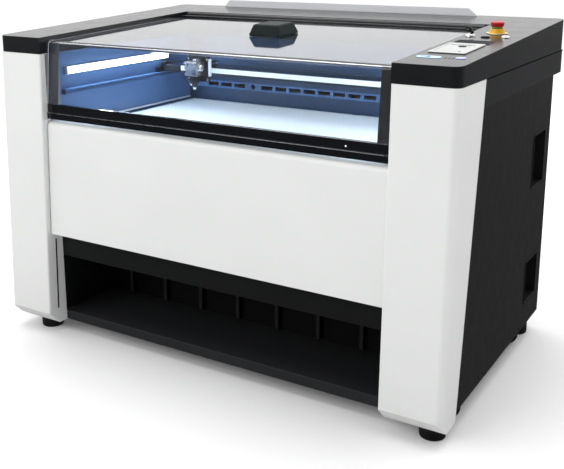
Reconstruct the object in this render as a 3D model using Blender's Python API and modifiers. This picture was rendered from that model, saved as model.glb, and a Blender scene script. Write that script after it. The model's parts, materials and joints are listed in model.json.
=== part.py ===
"""A floor-standing laser cutter with a clear lid, a moving table and a gantry.

Metres, +Z up. X runs across the machine, the front faces -Y, and the floor is at Z = 0.
Depths are measured back from the front face of the top cap.
"""

import math

import bmesh
import bpy
from mathutils import Matrix, Vector

# Overall
WIDTH = 1.300
DEPTH = 0.826
TOE = 0.022
HALF = WIDTH / 2
FRONT = -(DEPTH - TOE) / 2
GAP = 0.0005
SHEET = 0.003

# Heights above the floor
BASE_Z = 0.0325
CHAMBER_FLOOR_Z = 0.302
BED_Z = 0.589
BAND_Z = 0.732
CAP_Z = 0.794
CAP_FRONT_Z = 0.837
CAP_REAR_Z = 0.878
SLOPE = (CAP_REAR_Z - CAP_FRONT_Z) / DEPTH
TILT = math.atan(SLOPE)

# White columns and the mouth between them
COLUMN_W = 0.149
MOUTH = HALF - COLUMN_W
INNER = MOUTH - 0.001
COLUMN_RETURN = 0.0695
COLUMN_TOP_REAR = 0.161
PLINTH_Z = 0.0697
CHAMFER_BACK = 0.0145
OUTER_CORNER_R = 0.016
INNER_CORNER_R = 0.005
TRAY_FRONT = 0.042
TRAY_Z = 0.0607
TRAY_LOW_Z = 0.0338

# Cabinet
SIDE_X = 0.6465
SIDE_Z = 0.0524
CABINET_REAR = 0.7535
CHAMBER_REAR = 0.6505
NICHE_REAR = 0.245
FASCIA_Z = 0.226
FLANGE = 0.043
FRAME_Z = 0.094
FRAME_T = 0.006
DUCT_X = -0.250
DUCT_Z = 0.450
DUCT_R = 0.048
CROSS_BAR_ZS = (0.0446, 0.0570)
BAY_DEPTHS = (0.082, 0.745)

# Deflector plate behind the lid
PLATE_DEPTHS = (0.800, 0.804)
PLATE_TOP_Z = 0.8996

# Lid
LID_FRONT = 0.016
LID_BEND = 0.032
LID_REAR = 0.622
LID_DROP = 0.0125
LID_BOTTOM = 0.661
LID_SHEET = 0.005
LID_HALF = 0.4985
LID_BORDER = 0.034
LID_BEND_R = 0.008
HINGE_DEPTH = 0.633
HINGE_R = 0.006

# Drop-down front door
DOOR_BOTTOM = 0.300
DOOR_TOP = 0.6175
DOOR_THICK = 0.038
DOOR_HINGE_Z = DOOR_BOTTOM + 0.003
DOOR_EDGE_R = 0.020
DOOR_SKIN = 0.0025

# Gantry
RAIL_X = 0.486
RAIL_Z = 0.678
RAIL_H = 0.014
BEAM_DEPTH = 0.505
BEAM_T = 0.030
BEAM_H = 0.022
GUIDE_T = 0.012
GUIDE_H = 0.010
CARRIAGE_X = -0.350

# Table
BED_HALF = 0.478
BED_FRONT = 0.075
BED_BACK = 0.640
BED_T = 0.012
SCREW_X = 0.4875
SCREW_DEPTH = 0.360
SCREW_R = 0.006
SCREW_TOP = 0.583
BED_FRAME_H = 0.025

# Feet and casters
FOOT_XS = {"left": -0.568, "right": 0.6045}
FOOT_R = 0.0307
FOOT_DEPTHS = {"front": 0.052, "rear": 0.695}
CASTER_X = 0.575
CASTER_TRAIL = 0.034
CASTER_DEPTHS = {"front": 0.144, "rear": 0.605}
WHEEL_R = 0.025
WHEEL_W = 0.016
WHEEL_LIFT = 0.0015
AXLE_R = 0.003

SIDES = {"left": -1, "right": 1}

MATERIALS = {
    "white_paint": ((0.86, 0.87, 0.86), 0.35, 0.0),
    "black_cap": ((0.022, 0.024, 0.027), 0.30, 0.0),
    "dark_sheet": ((0.020, 0.020, 0.019), 0.45, 0.0),
    "niche_sheet": ((0.010, 0.012, 0.014), 0.50, 0.0),
    "chamber_sheet": ((0.16, 0.25, 0.42), 0.40, 0.2),
    "aluminium": ((0.62, 0.66, 0.72), 0.30, 1.0),
    "steel": ((0.55, 0.56, 0.58), 0.28, 1.0),
    "clear_acrylic": ((0.80, 0.85, 0.90), 0.05, 0.0),
    "rubber": ((0.015, 0.015, 0.015), 0.80, 0.0),
    "light": ((0.85, 0.92, 1.00), 0.30, 0.0),
    "red_plastic": ((0.60, 0.012, 0.015), 0.30, 0.0),
    "yellow_plastic": ((0.85, 0.48, 0.03), 0.35, 0.0),
    "chrome": ((0.80, 0.80, 0.82), 0.10, 1.0),
    "display": ((0.55, 0.57, 0.60), 0.20, 0.3),
}


def cap_top(depth):
    return CAP_FRONT_Z + depth * SLOPE


def lid_top(depth):
    return cap_top(depth) - LID_DROP


def at(x, depth, z):
    return Vector((x, FRONT + depth, z))


def clear_scene():
    for obj in list(bpy.data.objects):
        bpy.data.objects.remove(obj, do_unlink=True)


def new_collection(name):
    collection = bpy.data.collections.new(name)
    bpy.context.scene.collection.children.link(collection)
    return collection


def make_material(name, colour, roughness, metallic):
    material = bpy.data.materials.new(name)
    material.use_nodes = True
    shader = material.node_tree.nodes["Principled BSDF"]
    shader.inputs["Base Color"].default_value = (*colour, 1.0)
    shader.inputs["Roughness"].default_value = roughness
    shader.inputs["Metallic"].default_value = metallic
    return material


clear_scene()
PARTS = new_collection("laser_cutter")
CUTTERS = new_collection("cutters")
PAINTS = {name: make_material(name, *values) for name, values in MATERIALS.items()}


def part(name, mesh, place, paint):
    """One object of the machine. A paint of None makes it a cutter or a shape to join."""
    obj = bpy.data.objects.new(name, mesh)
    obj.location = place
    if paint is None:
        CUTTERS.objects.link(obj)
        obj.hide_render = True
        obj.display_type = "WIRE"
    else:
        PARTS.objects.link(obj)
        mesh.materials.clear()
        mesh.materials.append(PAINTS[paint])
    return obj


def mesh_of(bm, name):
    mesh = bpy.data.meshes.new(name)
    bmesh.ops.recalc_face_normals(bm, faces=bm.faces)
    bm.to_mesh(mesh)
    bm.free()
    return mesh


def box(name, xs, depths, zs, paint=None, bevel=0.0):
    size = Vector((xs[1] - xs[0], depths[1] - depths[0], zs[1] - zs[0]))
    middle = at(sum(xs) / 2, sum(depths) / 2, sum(zs) / 2)
    bm = bmesh.new()
    bmesh.ops.create_cube(bm, size=1.0, matrix=Matrix.Diagonal((*size, 1.0)))
    obj = part(name, mesh_of(bm, name), middle, paint)
    if bevel:
        round_edges(obj, bevel)
    return obj


def round_edges(obj, width, segments=2, angle=math.radians(40)):
    bevel = obj.modifiers.new("rounded_edges", "BEVEL")
    bevel.width = width
    bevel.segments = segments
    bevel.limit_method = "ANGLE"
    bevel.angle_limit = angle


def outline_mesh(points, thickness, name):
    """The flat outline as a filled curve, given a thickness and made a closed mesh."""
    curve = bpy.data.curves.new(name, "CURVE")
    curve.dimensions = "2D"
    curve.fill_mode = "BOTH"
    curve.extrude = thickness / 2
    spline = curve.splines.new("POLY")
    spline.points.add(len(points) - 1)
    for point, (u, v) in zip(spline.points, points):
        point.co = (u, v, 0.0, 1.0)
    spline.use_cyclic_u = True
    guide = bpy.data.objects.new(name + "_outline", curve)
    CUTTERS.objects.link(guide)
    graph = bpy.context.evaluated_depsgraph_get()
    mesh = bpy.data.meshes.new_from_object(guide.evaluated_get(graph))
    bpy.data.objects.remove(guide)
    bpy.data.curves.remove(curve)
    bm = bmesh.new()
    bm.from_mesh(mesh)
    bpy.data.meshes.remove(mesh)
    bmesh.ops.remove_doubles(bm, verts=bm.verts, dist=0.00001)
    return mesh_of(bm, name)


def side_profile(name, points, xs, paint=None):
    """An outline of (depth, z) points, drawn out along X."""
    mesh = outline_mesh(points, xs[1] - xs[0], name)
    turn = Matrix(((0, 0, 1, 0), (1, 0, 0, 0), (0, 1, 0, 0), (0, 0, 0, 1)))
    mesh.transform(turn)
    return part(name, mesh, at(sum(xs) / 2, 0, 0), paint)


def front_profile(name, points, depths, paint=None):
    """An outline of (x, z) points, drawn out along the depth."""
    mesh = outline_mesh(points, depths[1] - depths[0], name)
    mesh.transform(Matrix.Rotation(math.radians(90), 4, "X"))
    return part(name, mesh, at(0, sum(depths) / 2, 0), paint)


def plan_profile(name, points, zs, paint=None):
    """An outline of (x, depth) points, drawn out along Z."""
    mesh = outline_mesh(points, zs[1] - zs[0], name)
    return part(name, mesh, at(0, 0, sum(zs) / 2), paint)


def turned(name, profile, place, paint=None, steps=24, closed=False):
    """A Screw solid about Z. The profile of (r, z) points runs down its outer side."""
    mesh = bpy.data.meshes.new(name)
    vertices = [(r, 0.0, z) for r, z in profile]
    edges = [(i, i + 1) for i in range(len(profile) - 1)]
    if closed:
        edges.append((len(profile) - 1, 0))
    mesh.from_pydata(vertices, edges, [])
    obj = part(name, mesh, place, paint)
    screw = obj.modifiers.new("turned", "SCREW")
    screw.axis = "Z"
    screw.steps = steps
    screw.render_steps = steps
    screw.use_merge_vertices = True
    screw.merge_threshold = 0.0001
    return obj


def rod(name, radius, span, place, paint=None, steps=24, bore=0.0):
    """A plain round bar along Z between two heights, or a ring when it has a bore."""
    low, high = span
    if bore:
        profile = [(bore, high), (radius, high), (radius, low), (bore, low)]
    else:
        profile = [(0, high), (radius, high), (radius, low), (0, low)]
    return turned(name, profile, place, paint, steps, closed=bool(bore))


def combine(obj, other, operation):
    step = obj.modifiers.new(other.name, "BOOLEAN")
    step.operation = operation
    step.object = other
    return obj


def cut(obj, *cutters):
    for cutter in cutters:
        combine(obj, cutter, "DIFFERENCE")
    return obj


def join(obj, *others):
    for other in others:
        combine(obj, other, "UNION")
    return obj


def pivot(name, place):
    empty = bpy.data.objects.new(name, None)
    empty.empty_display_size = 0.05
    empty.location = place
    PARTS.objects.link(empty)
    return empty


def hang(parent, *children):
    """Parents pieces to an empty on their joint axis and keeps them where they are."""
    for child in children:
        child.parent = parent
        child.location -= parent.location


def arc(centre, radius, start, end, count):
    """Points of a round stretch from one angle to another, in degrees."""
    points = []
    for i in range(count + 1):
        angle = math.radians(start + (end - start) * i / count)
        points.append((centre[0] + radius * math.cos(angle), centre[1] + radius * math.sin(angle)))
    return points


def mirrored(points, side):
    return [(side * u, v) for u, v in points]


def spread(side, near, far):
    """The span from near to far on one side of the middle, lowest first."""
    return tuple(sorted((side * near, side * far)))


# ---------------------------------------------------------------- base

def build_base_frame():
    """Two bay plates that carry the feet and casters, tied by two cross bars."""
    web_x = MOUTH + SHEET + GAP
    plate_x = SIDE_X - 0.0065
    inset = 0.0003
    shapes = []
    for name, side in SIDES.items():
        outline = [
            (web_x, CROSS_BAR_ZS[0]),
            (web_x + FRAME_T, CROSS_BAR_ZS[0]),
            (web_x + FRAME_T, FRAME_Z),
            (plate_x, FRAME_Z),
            (plate_x, FRAME_Z + FRAME_T),
            (web_x, FRAME_Z + FRAME_T),
        ]
        paint = "dark_sheet" if side < 0 else None
        title = "base_frame" if side < 0 else "base_frame_right_bay"
        bay = front_profile(title, mirrored(outline, side), BAY_DEPTHS, paint)
        tongue_xs = spread(side, web_x + FRAME_T / 2, plate_x - 0.002)
        tongue_zs = (FRAME_Z + inset, FRAME_Z + FRAME_T - inset)
        join(bay, box(f"{name}_foot_plate", tongue_xs, (0.012, BAY_DEPTHS[0] + 0.008), tongue_zs))
        shapes.append(bay)
    frame, right_bay = shapes
    for i, depth in enumerate((0.300, 0.660)):
        reach = web_x + FRAME_T / 2
        join(frame, box(f"cross_bar_{i}", (-reach, reach), (depth, depth + 0.04), CROSS_BAR_ZS))
    join(frame, right_bay)
    return frame


def build_base_tray():
    """Floor of the storage niche, folded down at the front as a lip."""
    outline = [
        (TRAY_FRONT, TRAY_LOW_Z),
        (TRAY_FRONT + SHEET, TRAY_LOW_Z),
        (TRAY_FRONT + SHEET, TRAY_Z - SHEET),
        (CABINET_REAR - 0.005, TRAY_Z - SHEET),
        (CABINET_REAR - 0.005, TRAY_Z),
        (TRAY_FRONT, TRAY_Z),
    ]
    return side_profile("base_tray", outline, (-INNER, INNER), "niche_sheet")


def build_levelling_feet():
    top = BASE_Z - GAP
    profile = [
        (0, FRAME_Z - GAP),
        (0.007, FRAME_Z - GAP),
        (0.007, top),
        (FOOT_R - 0.002, top),
        (FOOT_R, top - 0.003),
        (FOOT_R, 0.008),
        (FOOT_R - 0.005, 0),
        (0, 0),
    ]
    for end, depth in FOOT_DEPTHS.items():
        for name, x in FOOT_XS.items():
            turned(f"levelling_foot_{end}_{name}", profile, at(x, depth, 0), "rubber")


def build_casters():
    for end, depth in CASTER_DEPTHS.items():
        for name, side in SIDES.items():
            build_caster(f"{end}_{name}", side * CASTER_X, depth)


def build_caster(tag, x, depth):
    """A small swivel caster that trails towards +X, just clear of the floor."""
    axle_x = x + CASTER_TRAIL
    axle_z = WHEEL_R + WHEEL_LIFT
    cheek = WHEEL_W / 2 + 0.001
    crown = (0.056, 0.060)
    fork = box(
        f"caster_fork_{tag}",
        (x - 0.012, axle_x + 0.008),
        (depth - cheek - 0.002, depth + cheek + 0.002),
        crown,
        "steel",
    )
    for i, sign in enumerate((-1, 1)):
        outline = [
            (x + 0.004, 0.058),
            (axle_x - 0.006, axle_z - 0.006),
            (axle_x + 0.006, axle_z - 0.006),
            (axle_x + 0.007, 0.058),
        ]
        inner = depth + sign * cheek
        outer = depth + sign * (cheek + 0.0018)
        side = tuple(sorted((inner, outer)))
        join(fork, front_profile(f"cheek_{tag}_{i}", outline, side))
    pin = rod(f"axle_{tag}", AXLE_R, (-cheek - 0.001, cheek + 0.001), at(axle_x, depth, axle_z), steps=12)
    pin.rotation_euler.x = math.radians(90)
    stem = rod(f"stem_{tag}", 0.006, (0.058, FRAME_Z - GAP), at(x, depth, 0), steps=12)
    join(fork, pin, stem)
    wheel = rod(
        f"caster_wheel_{tag}",
        WHEEL_R,
        (-WHEEL_W / 2, WHEEL_W / 2),
        at(axle_x, depth, axle_z),
        "rubber",
        bore=AXLE_R + 0.0003,
    )
    wheel.rotation_euler.x = math.radians(90)
    hang(pivot(f"swivel_{tag}", at(x, depth, 0)), fork, wheel)


# ---------------------------------------------------------------- cabinet

def build_niche_back():
    """Sheet with upright ribs, from the tray to the floor of the work chamber."""
    depths = (NICHE_REAR, NICHE_REAR + SHEET)
    zs = (TRAY_Z + GAP, CHAMBER_FLOOR_Z - SHEET - 0.001)
    panel = box("niche_back_panel", (-INNER, INNER), depths, zs, "niche_sheet")
    rib_depths = (NICHE_REAR - 0.014, NICHE_REAR + 0.001)
    rib_zs = (zs[0] + 0.005, zs[1] - 0.008)
    pitch = 0.1263
    first = -0.4195
    for i in range(8):
        x = first + pitch * i
        join(panel, box(f"niche_rib_{i}", (x - 0.005, x + 0.005), rib_depths, rib_zs))
    return panel


def build_niche_fascia():
    """Channel across the top of the niche, open to the rear."""
    front = TRAY_FRONT
    top = CHAMBER_FLOOR_Z - SHEET - GAP
    skin = 0.0025
    outline = [
        (front, FASCIA_Z),
        (front + FLANGE, FASCIA_Z),
        (front + FLANGE, FASCIA_Z + skin),
        (front + skin, FASCIA_Z + skin),
        (front + skin, top - skin),
        (front + FLANGE, top - skin),
        (front + FLANGE, top),
        (front, top),
    ]
    return side_profile("niche_fascia", outline, (-INNER, INNER), "niche_sheet")


def build_chamber_floor():
    zs = (CHAMBER_FLOOR_Z - SHEET, CHAMBER_FLOOR_Z)
    return box("chamber_floor", (-INNER, INNER), (TRAY_FRONT, CHAMBER_REAR - 0.001), zs, "chamber_sheet")


def build_inner_walls():
    """Each is one sheet: the side of the niche below and of the work chamber above."""
    for name, side in SIDES.items():
        xs = spread(side, MOUTH, MOUTH + SHEET)
        depths = (COLUMN_RETURN + GAP, CHAMBER_REAR + SHEET)
        box(f"{name}_inner_wall", xs, depths, (0.058, CAP_Z - GAP), "chamber_sheet")


def build_side_panels():
    """Side sheets with two grab pockets pressed into each."""
    depths = (0.598, 0.702)
    pockets = {"upper": (0.451, 0.5915), "lower": (0.127, 0.243)}
    for name, side in SIDES.items():
        xs = spread(side, SIDE_X - SHEET, SIDE_X)
        panel = box(f"{name}_side_panel", xs, (0.085, CABINET_REAR), (SIDE_Z, BAND_Z - 0.001), "dark_sheet")
        for title, zs in pockets.items():
            shell_x = spread(side, SIDE_X - 0.030, SIDE_X - 0.001)
            shell_d = (depths[0] - SHEET, depths[1] + SHEET)
            shell_z = (zs[0] - SHEET, zs[1] + SHEET)
            join(panel, box(f"{name}_{title}_pocket_shell", shell_x, shell_d, shell_z))
            hollow_x = spread(side, SIDE_X - 0.027, SIDE_X + 0.01)
            cut(panel, box(f"{name}_{title}_pocket", hollow_x, depths, zs))


def build_rear_panel():
    depths = (CABINET_REAR - SHEET, CABINET_REAR)
    panel = box("rear_panel", (-0.643, 0.643), depths, (SIDE_Z, BAND_Z - 0.001), "dark_sheet")
    through = (depths[0] - 0.01, depths[1] + 0.01)
    for row in range(10):
        z = 0.160 + 0.018 * row
        cut(panel, box(f"louvre_{row}", (0.10, 0.36), through, (z, z + 0.007)))
    duct = rod("duct_hole", DUCT_R, (-0.01, 0.01), at(DUCT_X, CABINET_REAR, DUCT_Z))
    duct.rotation_euler.x = math.radians(90)
    inlet = box("inlet_hole", (0.475, 0.515), through, (0.125, 0.150))
    return cut(panel, duct, inlet)


def build_exhaust_port():
    """A hose spigot with a flange against the rear panel."""
    bore = DUCT_R + 0.0002
    profile = [
        (bore, 0.032),
        (bore + SHEET, 0.032),
        (bore + SHEET, 0.004),
        (bore + 0.016, 0.004),
        (bore + 0.016, GAP),
        (bore, GAP),
    ]
    place = at(DUCT_X, CABINET_REAR, DUCT_Z)
    port = turned("exhaust_port", profile, place, "dark_sheet", steps=32, closed=True)
    port.rotation_euler.x = math.radians(-90)
    return port


def build_power_inlet():
    rear = CABINET_REAR + GAP
    inlet = box("power_inlet", (0.468, 0.522), (rear, rear + 0.006), (0.118, 0.157), "dark_sheet")
    recess = box("inlet_recess", (0.477, 0.513), (rear - 0.020, rear + 0.020), (0.127, 0.148))
    body = box("inlet_body", (0.4755, 0.5145), (rear - 0.018, rear + 0.003), (0.1255, 0.1495))
    floor = box("inlet_floor", (0.4765, 0.5135), (rear - 0.018, rear - 0.014), (0.1265, 0.1485))
    join(inlet, body)
    cut(inlet, recess)
    return join(inlet, floor)


def build_columns():
    for name, side in SIDES.items():
        build_column(name, side)


def column_plan(inset, reach):
    """Plan of the right column with its two front corners round."""
    left = MOUTH + INNER_CORNER_R
    right = HALF - OUTER_CORNER_R
    points = [(MOUTH + inset, reach)]
    points += arc((left, INNER_CORNER_R), INNER_CORNER_R - inset, 180, 270, 4)
    points += arc((right, OUTER_CORNER_R), OUTER_CORNER_R - inset, 270, 360, 6)
    points.append((HALF - inset, reach))
    return points


def lean(obj):
    """Slants a column forward towards its toe, about its top edge."""
    top = CAP_Z - GAP
    rate = TOE / (top - PLINTH_Z)
    middle = obj.location.z
    for vertex in obj.data.vertices:
        vertex.co.y -= rate * (top - middle - vertex.co.z)


def build_column(name, side):
    """Folded white cover with a solid plinth, cut back under its toe."""
    top = CAP_Z - GAP
    deep = COLUMN_TOP_REAR + 0.03
    shell = column_plan(0, deep) + column_plan(SHEET, deep)[::-1]
    column = plan_profile(f"{name}_column", mirrored(shell, side), (BASE_Z, top), "white_paint")
    lean(column)
    plinth_plan = mirrored(column_plan(GAP, 0.0805), side)
    plinth = plan_profile(f"{name}_plinth", plinth_plan, (BASE_Z, PLINTH_Z - 0.002))
    lean(plinth)
    past = 0.03
    before = -TOE - past
    below = BASE_Z - past
    toe = [(before, PLINTH_Z + past), (before, below), (CHAMFER_BACK + past, below)]
    chamfer = side_profile(f"{name}_toe_cut", toe, spread(side, MOUTH - 0.01, HALF + 0.01))
    slant = (COLUMN_TOP_REAR - COLUMN_RETURN) / (top - BASE_Z)
    rear = side_profile(
        f"{name}_flange_cut",
        [
            (COLUMN_RETURN - 0.1 * slant, BASE_Z - 0.1),
            (0.30, BASE_Z - 0.1),
            (0.30, top + 0.1),
            (COLUMN_TOP_REAR + 0.1 * slant, top + 0.1),
        ],
        spread(side, MOUTH + 0.02, HALF + 0.01),
    )
    inner = box(
        f"{name}_return_cut",
        spread(side, MOUTH - 0.01, MOUTH + 0.021),
        (COLUMN_RETURN, 0.30),
        (BASE_Z - 0.01, top + 0.01),
    )
    slit = box(f"{name}_slit", spread(side, MOUTH - 0.01, MOUTH + 0.02), (0.032, 0.035), (0.078, 0.280))
    lean(slit)
    hole = rod(f"{name}_foot_hole", 0.010, (0.01, 0.09), at(FOOT_XS[name], FOOT_DEPTHS["front"], 0))
    join(column, plinth)
    return cut(column, chamfer, rear, inner, slit, hole)


def build_bands():
    """Upper body under the cap: two sides and a rear that overhangs the cabinet."""
    zs = (BAND_Z, CAP_Z - 0.0015)
    rear = DEPTH - 0.0035
    for name, side in SIDES.items():
        xs = spread(side, 0.6455, 0.6485)
        box(f"{name}_band", xs, (COLUMN_TOP_REAR + 0.004, rear), zs, "black_cap")
    outline = [
        (CABINET_REAR + 0.001, BAND_Z),
        (DEPTH - 0.0005, BAND_Z),
        (DEPTH - 0.0005, zs[1]),
        (rear + GAP, zs[1]),
        (rear + GAP, BAND_Z + SHEET),
        (CABINET_REAR + 0.001, BAND_Z + SHEET),
    ]
    side_profile("rear_band", outline, (-0.6450, 0.6450), "black_cap")


def cap_plan(inset):
    """Plan of the cap: two arms and a rear beam around the lid."""
    radius = 0.022
    middle = HALF - radius
    inner = MOUTH + inset
    back = CHAMBER_REAR - 0.0095 + inset
    outer = arc((middle, radius), radius - inset, 270, 360, 5)
    outer += arc((middle, DEPTH - radius), radius - inset, 0, 90, 5)
    right = [(inner, back), (inner, inset)] + outer
    return right + [(-x, depth) for x, depth in right[::-1]]


def build_top_cap():
    """U-shaped cover, hollow from below, whose top rises to the rear."""
    cap = plan_profile("top_cap", cap_plan(0), (CAP_Z, CAP_Z + 0.04), "black_cap")
    hollow = plan_profile("cap_hollow", cap_plan(SHEET), (CAP_Z - 0.01, CAP_Z + 0.03))
    for obj, skin in ((cap, 0), (hollow, SHEET)):
        for vertex in obj.data.vertices:
            if vertex.co.z > 0:
                vertex.co.z = cap_top(vertex.co.y) - skin - obj.location.z
    return cut(cap, hollow)


def build_rear_plate():
    """Translucent deflector that stands on the rear of the cap."""
    bottom = cap_top(PLATE_DEPTHS[1]) + GAP
    outline = [(-0.4615, bottom), (0.411, bottom), (0.385, PLATE_TOP_Z), (-0.441, PLATE_TOP_Z)]
    return front_profile("rear_plate", outline, PLATE_DEPTHS, "clear_acrylic")


# ---------------------------------------------------------------- chamber

def build_chamber_rear_wall():
    depths = (CHAMBER_REAR, CHAMBER_REAR + SHEET)
    zs = (CHAMBER_FLOOR_Z + GAP, CAP_Z - 0.001)
    wall = box("chamber_rear_wall", (-INNER, INNER), depths, zs, "chamber_sheet")
    through = (depths[0] - 0.01, depths[1] + 0.01)
    pitch = 0.0506
    first = -0.4045
    slot_z = 0.6416
    join(wall, box("slotted_strip", (-0.47, 0.47), (depths[0] - 0.0015, depths[0] + 0.001), (0.630, 0.653)))
    for i in range(17):
        x = first + pitch * i
        if i == 3:
            hole = rod("wall_hole", 0.008, (-0.01, 0.01), at(x, CHAMBER_REAR, slot_z), steps=16)
            hole.rotation_euler.x = math.radians(90)
            cut(wall, hole)
            continue
        cut(wall, box(f"wall_slot_{i}", (x - 0.020, x + 0.020), through, (slot_z - 0.006, slot_z + 0.006)))
    return wall


def build_rails():
    for name, side in SIDES.items():
        xs = spread(side, RAIL_X, MOUTH - GAP)
        rail = box(f"{name}_y_rail", xs, (0.075, 0.640), (RAIL_Z, RAIL_Z + RAIL_H), "aluminium")
        groove_xs = spread(side, RAIL_X - 0.01, RAIL_X + 0.004)
        groove_zs = (RAIL_Z + 0.005, RAIL_Z + 0.009)
        cut(rail, box(f"{name}_rail_groove", groove_xs, (0.05, 0.70), groove_zs))


def build_light_bars():
    for name, side in SIDES.items():
        xs = spread(side, MOUTH - 0.012, MOUTH - GAP)
        box(f"{name}_light_bar", xs, (0.086, 0.533), (0.730, 0.752), "light", bevel=0.003)


def build_laser_tube():
    """Sealed tube lying across the rear bay, on a cradle with two saddles."""
    depth = 0.702
    z = 0.620
    tube = rod("laser_tube", 0.034, (-0.42, 0.42), at(0, depth, z), "aluminium", steps=28)
    tube.rotation_euler.y = math.radians(90)
    cradle = box("tube_cradle", (-0.46, 0.46), (0.662, 0.742), (0.560, 0.565), "steel")
    for i, x in enumerate((-0.30, 0.30)):
        join(cradle, box(f"saddle_{i}", (x - 0.015, x + 0.015), (0.664, 0.740), (0.563, 0.610)))
    seat = rod("saddle_seat", 0.0345, (-0.5, 0.5), at(0, depth, z), steps=28)
    seat.rotation_euler.y = math.radians(90)
    cut(cradle, seat)


def build_power_supply():
    supply = box("power_supply", (0.515, 0.600), (0.360, 0.540), (0.1005, 0.300), "steel")
    for row in range(5):
        z = 0.150 + 0.022 * row
        cut(supply, box(f"supply_vent_{row}", (0.590, 0.61), (0.400, 0.500), (z, z + 0.008)))
    return supply


# ---------------------------------------------------------------- table

def build_bed():
    table = box("bed_table", (-BED_HALF, BED_HALF), (BED_FRONT, BED_BACK), (BED_Z - BED_T, BED_Z), "light")
    top = BED_Z - BED_T - GAP
    low = top - BED_FRAME_H
    frame = box("bed_frame", (-0.470, 0.470), (0.085, 0.630), (low, top), "aluminium")
    cut(frame, box("bed_frame_hollow", (-0.450, 0.450), (0.105, 0.610), (low - 0.01, top + 0.01)))
    lug_depths = (SCREW_DEPTH - 0.015, SCREW_DEPTH + 0.015)
    hole_zs = (low - 0.01, top + 0.01)
    for name, side in SIDES.items():
        join(frame, box(f"{name}_lug", spread(side, 0.460, 0.4985), lug_depths, (low + 0.002, low + 0.016)))
        cut(frame, rod(f"{name}_lug_hole", SCREW_R + 0.001, hole_zs, at(side * SCREW_X, SCREW_DEPTH, 0)))
        build_bed_screw(name, side)
    hang(pivot("bed_lift", at(0, SCREW_DEPTH, BED_Z)), table, frame)


def build_bed_screw(name, side):
    """Plain bar on a thrust collar that rests on the chamber floor."""
    collar_top = CHAMBER_FLOOR_Z + 0.010
    profile = [
        (0, SCREW_TOP),
        (SCREW_R - 0.001, SCREW_TOP),
        (SCREW_R, SCREW_TOP - 0.002),
        (SCREW_R, collar_top),
        (0.010, collar_top),
        (0.010, CHAMBER_FLOOR_Z + GAP),
        (0, CHAMBER_FLOOR_Z + GAP),
    ]
    turned(f"bed_screw_{name}", profile, at(side * SCREW_X, SCREW_DEPTH, 0), "steel")


# ---------------------------------------------------------------- gantry

def build_gantry():
    low = RAIL_Z + RAIL_H + GAP
    depths = (BEAM_DEPTH, BEAM_DEPTH + BEAM_T)
    reach = MOUTH - 0.0015
    beam = box("x_beam", (-reach, reach), depths, (low, low + BEAM_H), "aluminium")
    for name, side in SIDES.items():
        truck_x = spread(side, RAIL_X + 0.001, reach - 0.0002)
        truck_d = (BEAM_DEPTH - 0.030, BEAM_DEPTH + BEAM_T + 0.030)
        join(beam, box(f"{name}_truck", truck_x, truck_d, (low + 0.0002, low + 0.015)))
    groove_depths = (BEAM_DEPTH - 0.01, BEAM_DEPTH + 0.004)
    cut(beam, box("beam_groove", (-0.46, 0.46), groove_depths, (low + 0.008, low + 0.014)))
    middle = BEAM_DEPTH + BEAM_T / 2
    guide_depths = (middle - GUIDE_T / 2, middle + GUIDE_T / 2)
    guide_top = low + BEAM_H + GUIDE_H
    join(beam, box("linear_guide", (-0.482, 0.482), guide_depths, (guide_top - GUIDE_H - 0.001, guide_top)))
    carriage, nozzle = build_carriage(guide_top)
    gantry = pivot("gantry_slide", at(0, BEAM_DEPTH, RAIL_Z))
    hang(gantry, beam, carriage, nozzle)


def build_carriage(guide_top):
    """Plate in front of the beam, hung from a shelf over its guide, with a mirror block and a nozzle."""
    x = CARRIAGE_X
    front = BEAM_DEPTH - GAP
    carriage = box("carriage", (x - 0.040, x + 0.040), (front - 0.012, front), (0.672, 0.748), "black_cap")
    shelf_zs = (guide_top + GAP, guide_top + 0.006)
    shelf = box("carriage_shelf", (x - 0.038, x + 0.038), (front - 0.006, front + 0.045), shelf_zs)
    block = box("mirror_block", (x - 0.024, x + 0.024), (front - 0.050, front - 0.010), (0.690, 0.736))
    port = rod("beam_port", 0.008, (-0.05, 0.03), at(x, front - 0.030, 0.716), steps=16)
    port.rotation_euler.y = math.radians(90)
    join(carriage, shelf, block)
    cut(carriage, port)
    profile = [
        (0, 0.6895),
        (0.013, 0.6895),
        (0.013, 0.671),
        (0.009, 0.666),
        (0.004, 0.650),
        (0, 0.650),
    ]
    nozzle = turned("focus_nozzle", profile, at(x, front - 0.030, 0), "steel")
    return carriage, nozzle


# ---------------------------------------------------------------- lid

def lid_path(inset):
    """Side view of the bent sheet, from its lower front edge to its rear edge."""
    front = math.atan2(lid_top(LID_BEND) - LID_BOTTOM, LID_BEND - LID_FRONT)
    down = Vector((math.cos(front), math.sin(front)))
    back = Vector((math.cos(TILT), math.sin(TILT)))
    corner = Vector((LID_BEND, lid_top(LID_BEND)))
    turn = front - TILT
    centre = corner + (back - down).normalized() * (LID_BEND_R / math.cos(turn / 2))
    radius = LID_BEND_R - inset
    start = math.degrees(front) + 90
    end = math.degrees(TILT) + 90
    low = (LID_FRONT + inset / math.sin(front), LID_BOTTOM)
    far = Vector((LID_REAR, lid_top(LID_REAR))) + Vector((back.y, -back.x)) * inset
    return [low] + arc(centre, radius, start, end, 4) + [tuple(far)]


def sheet_outline(near, far):
    return lid_path(near) + lid_path(far)[::-1]


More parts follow.
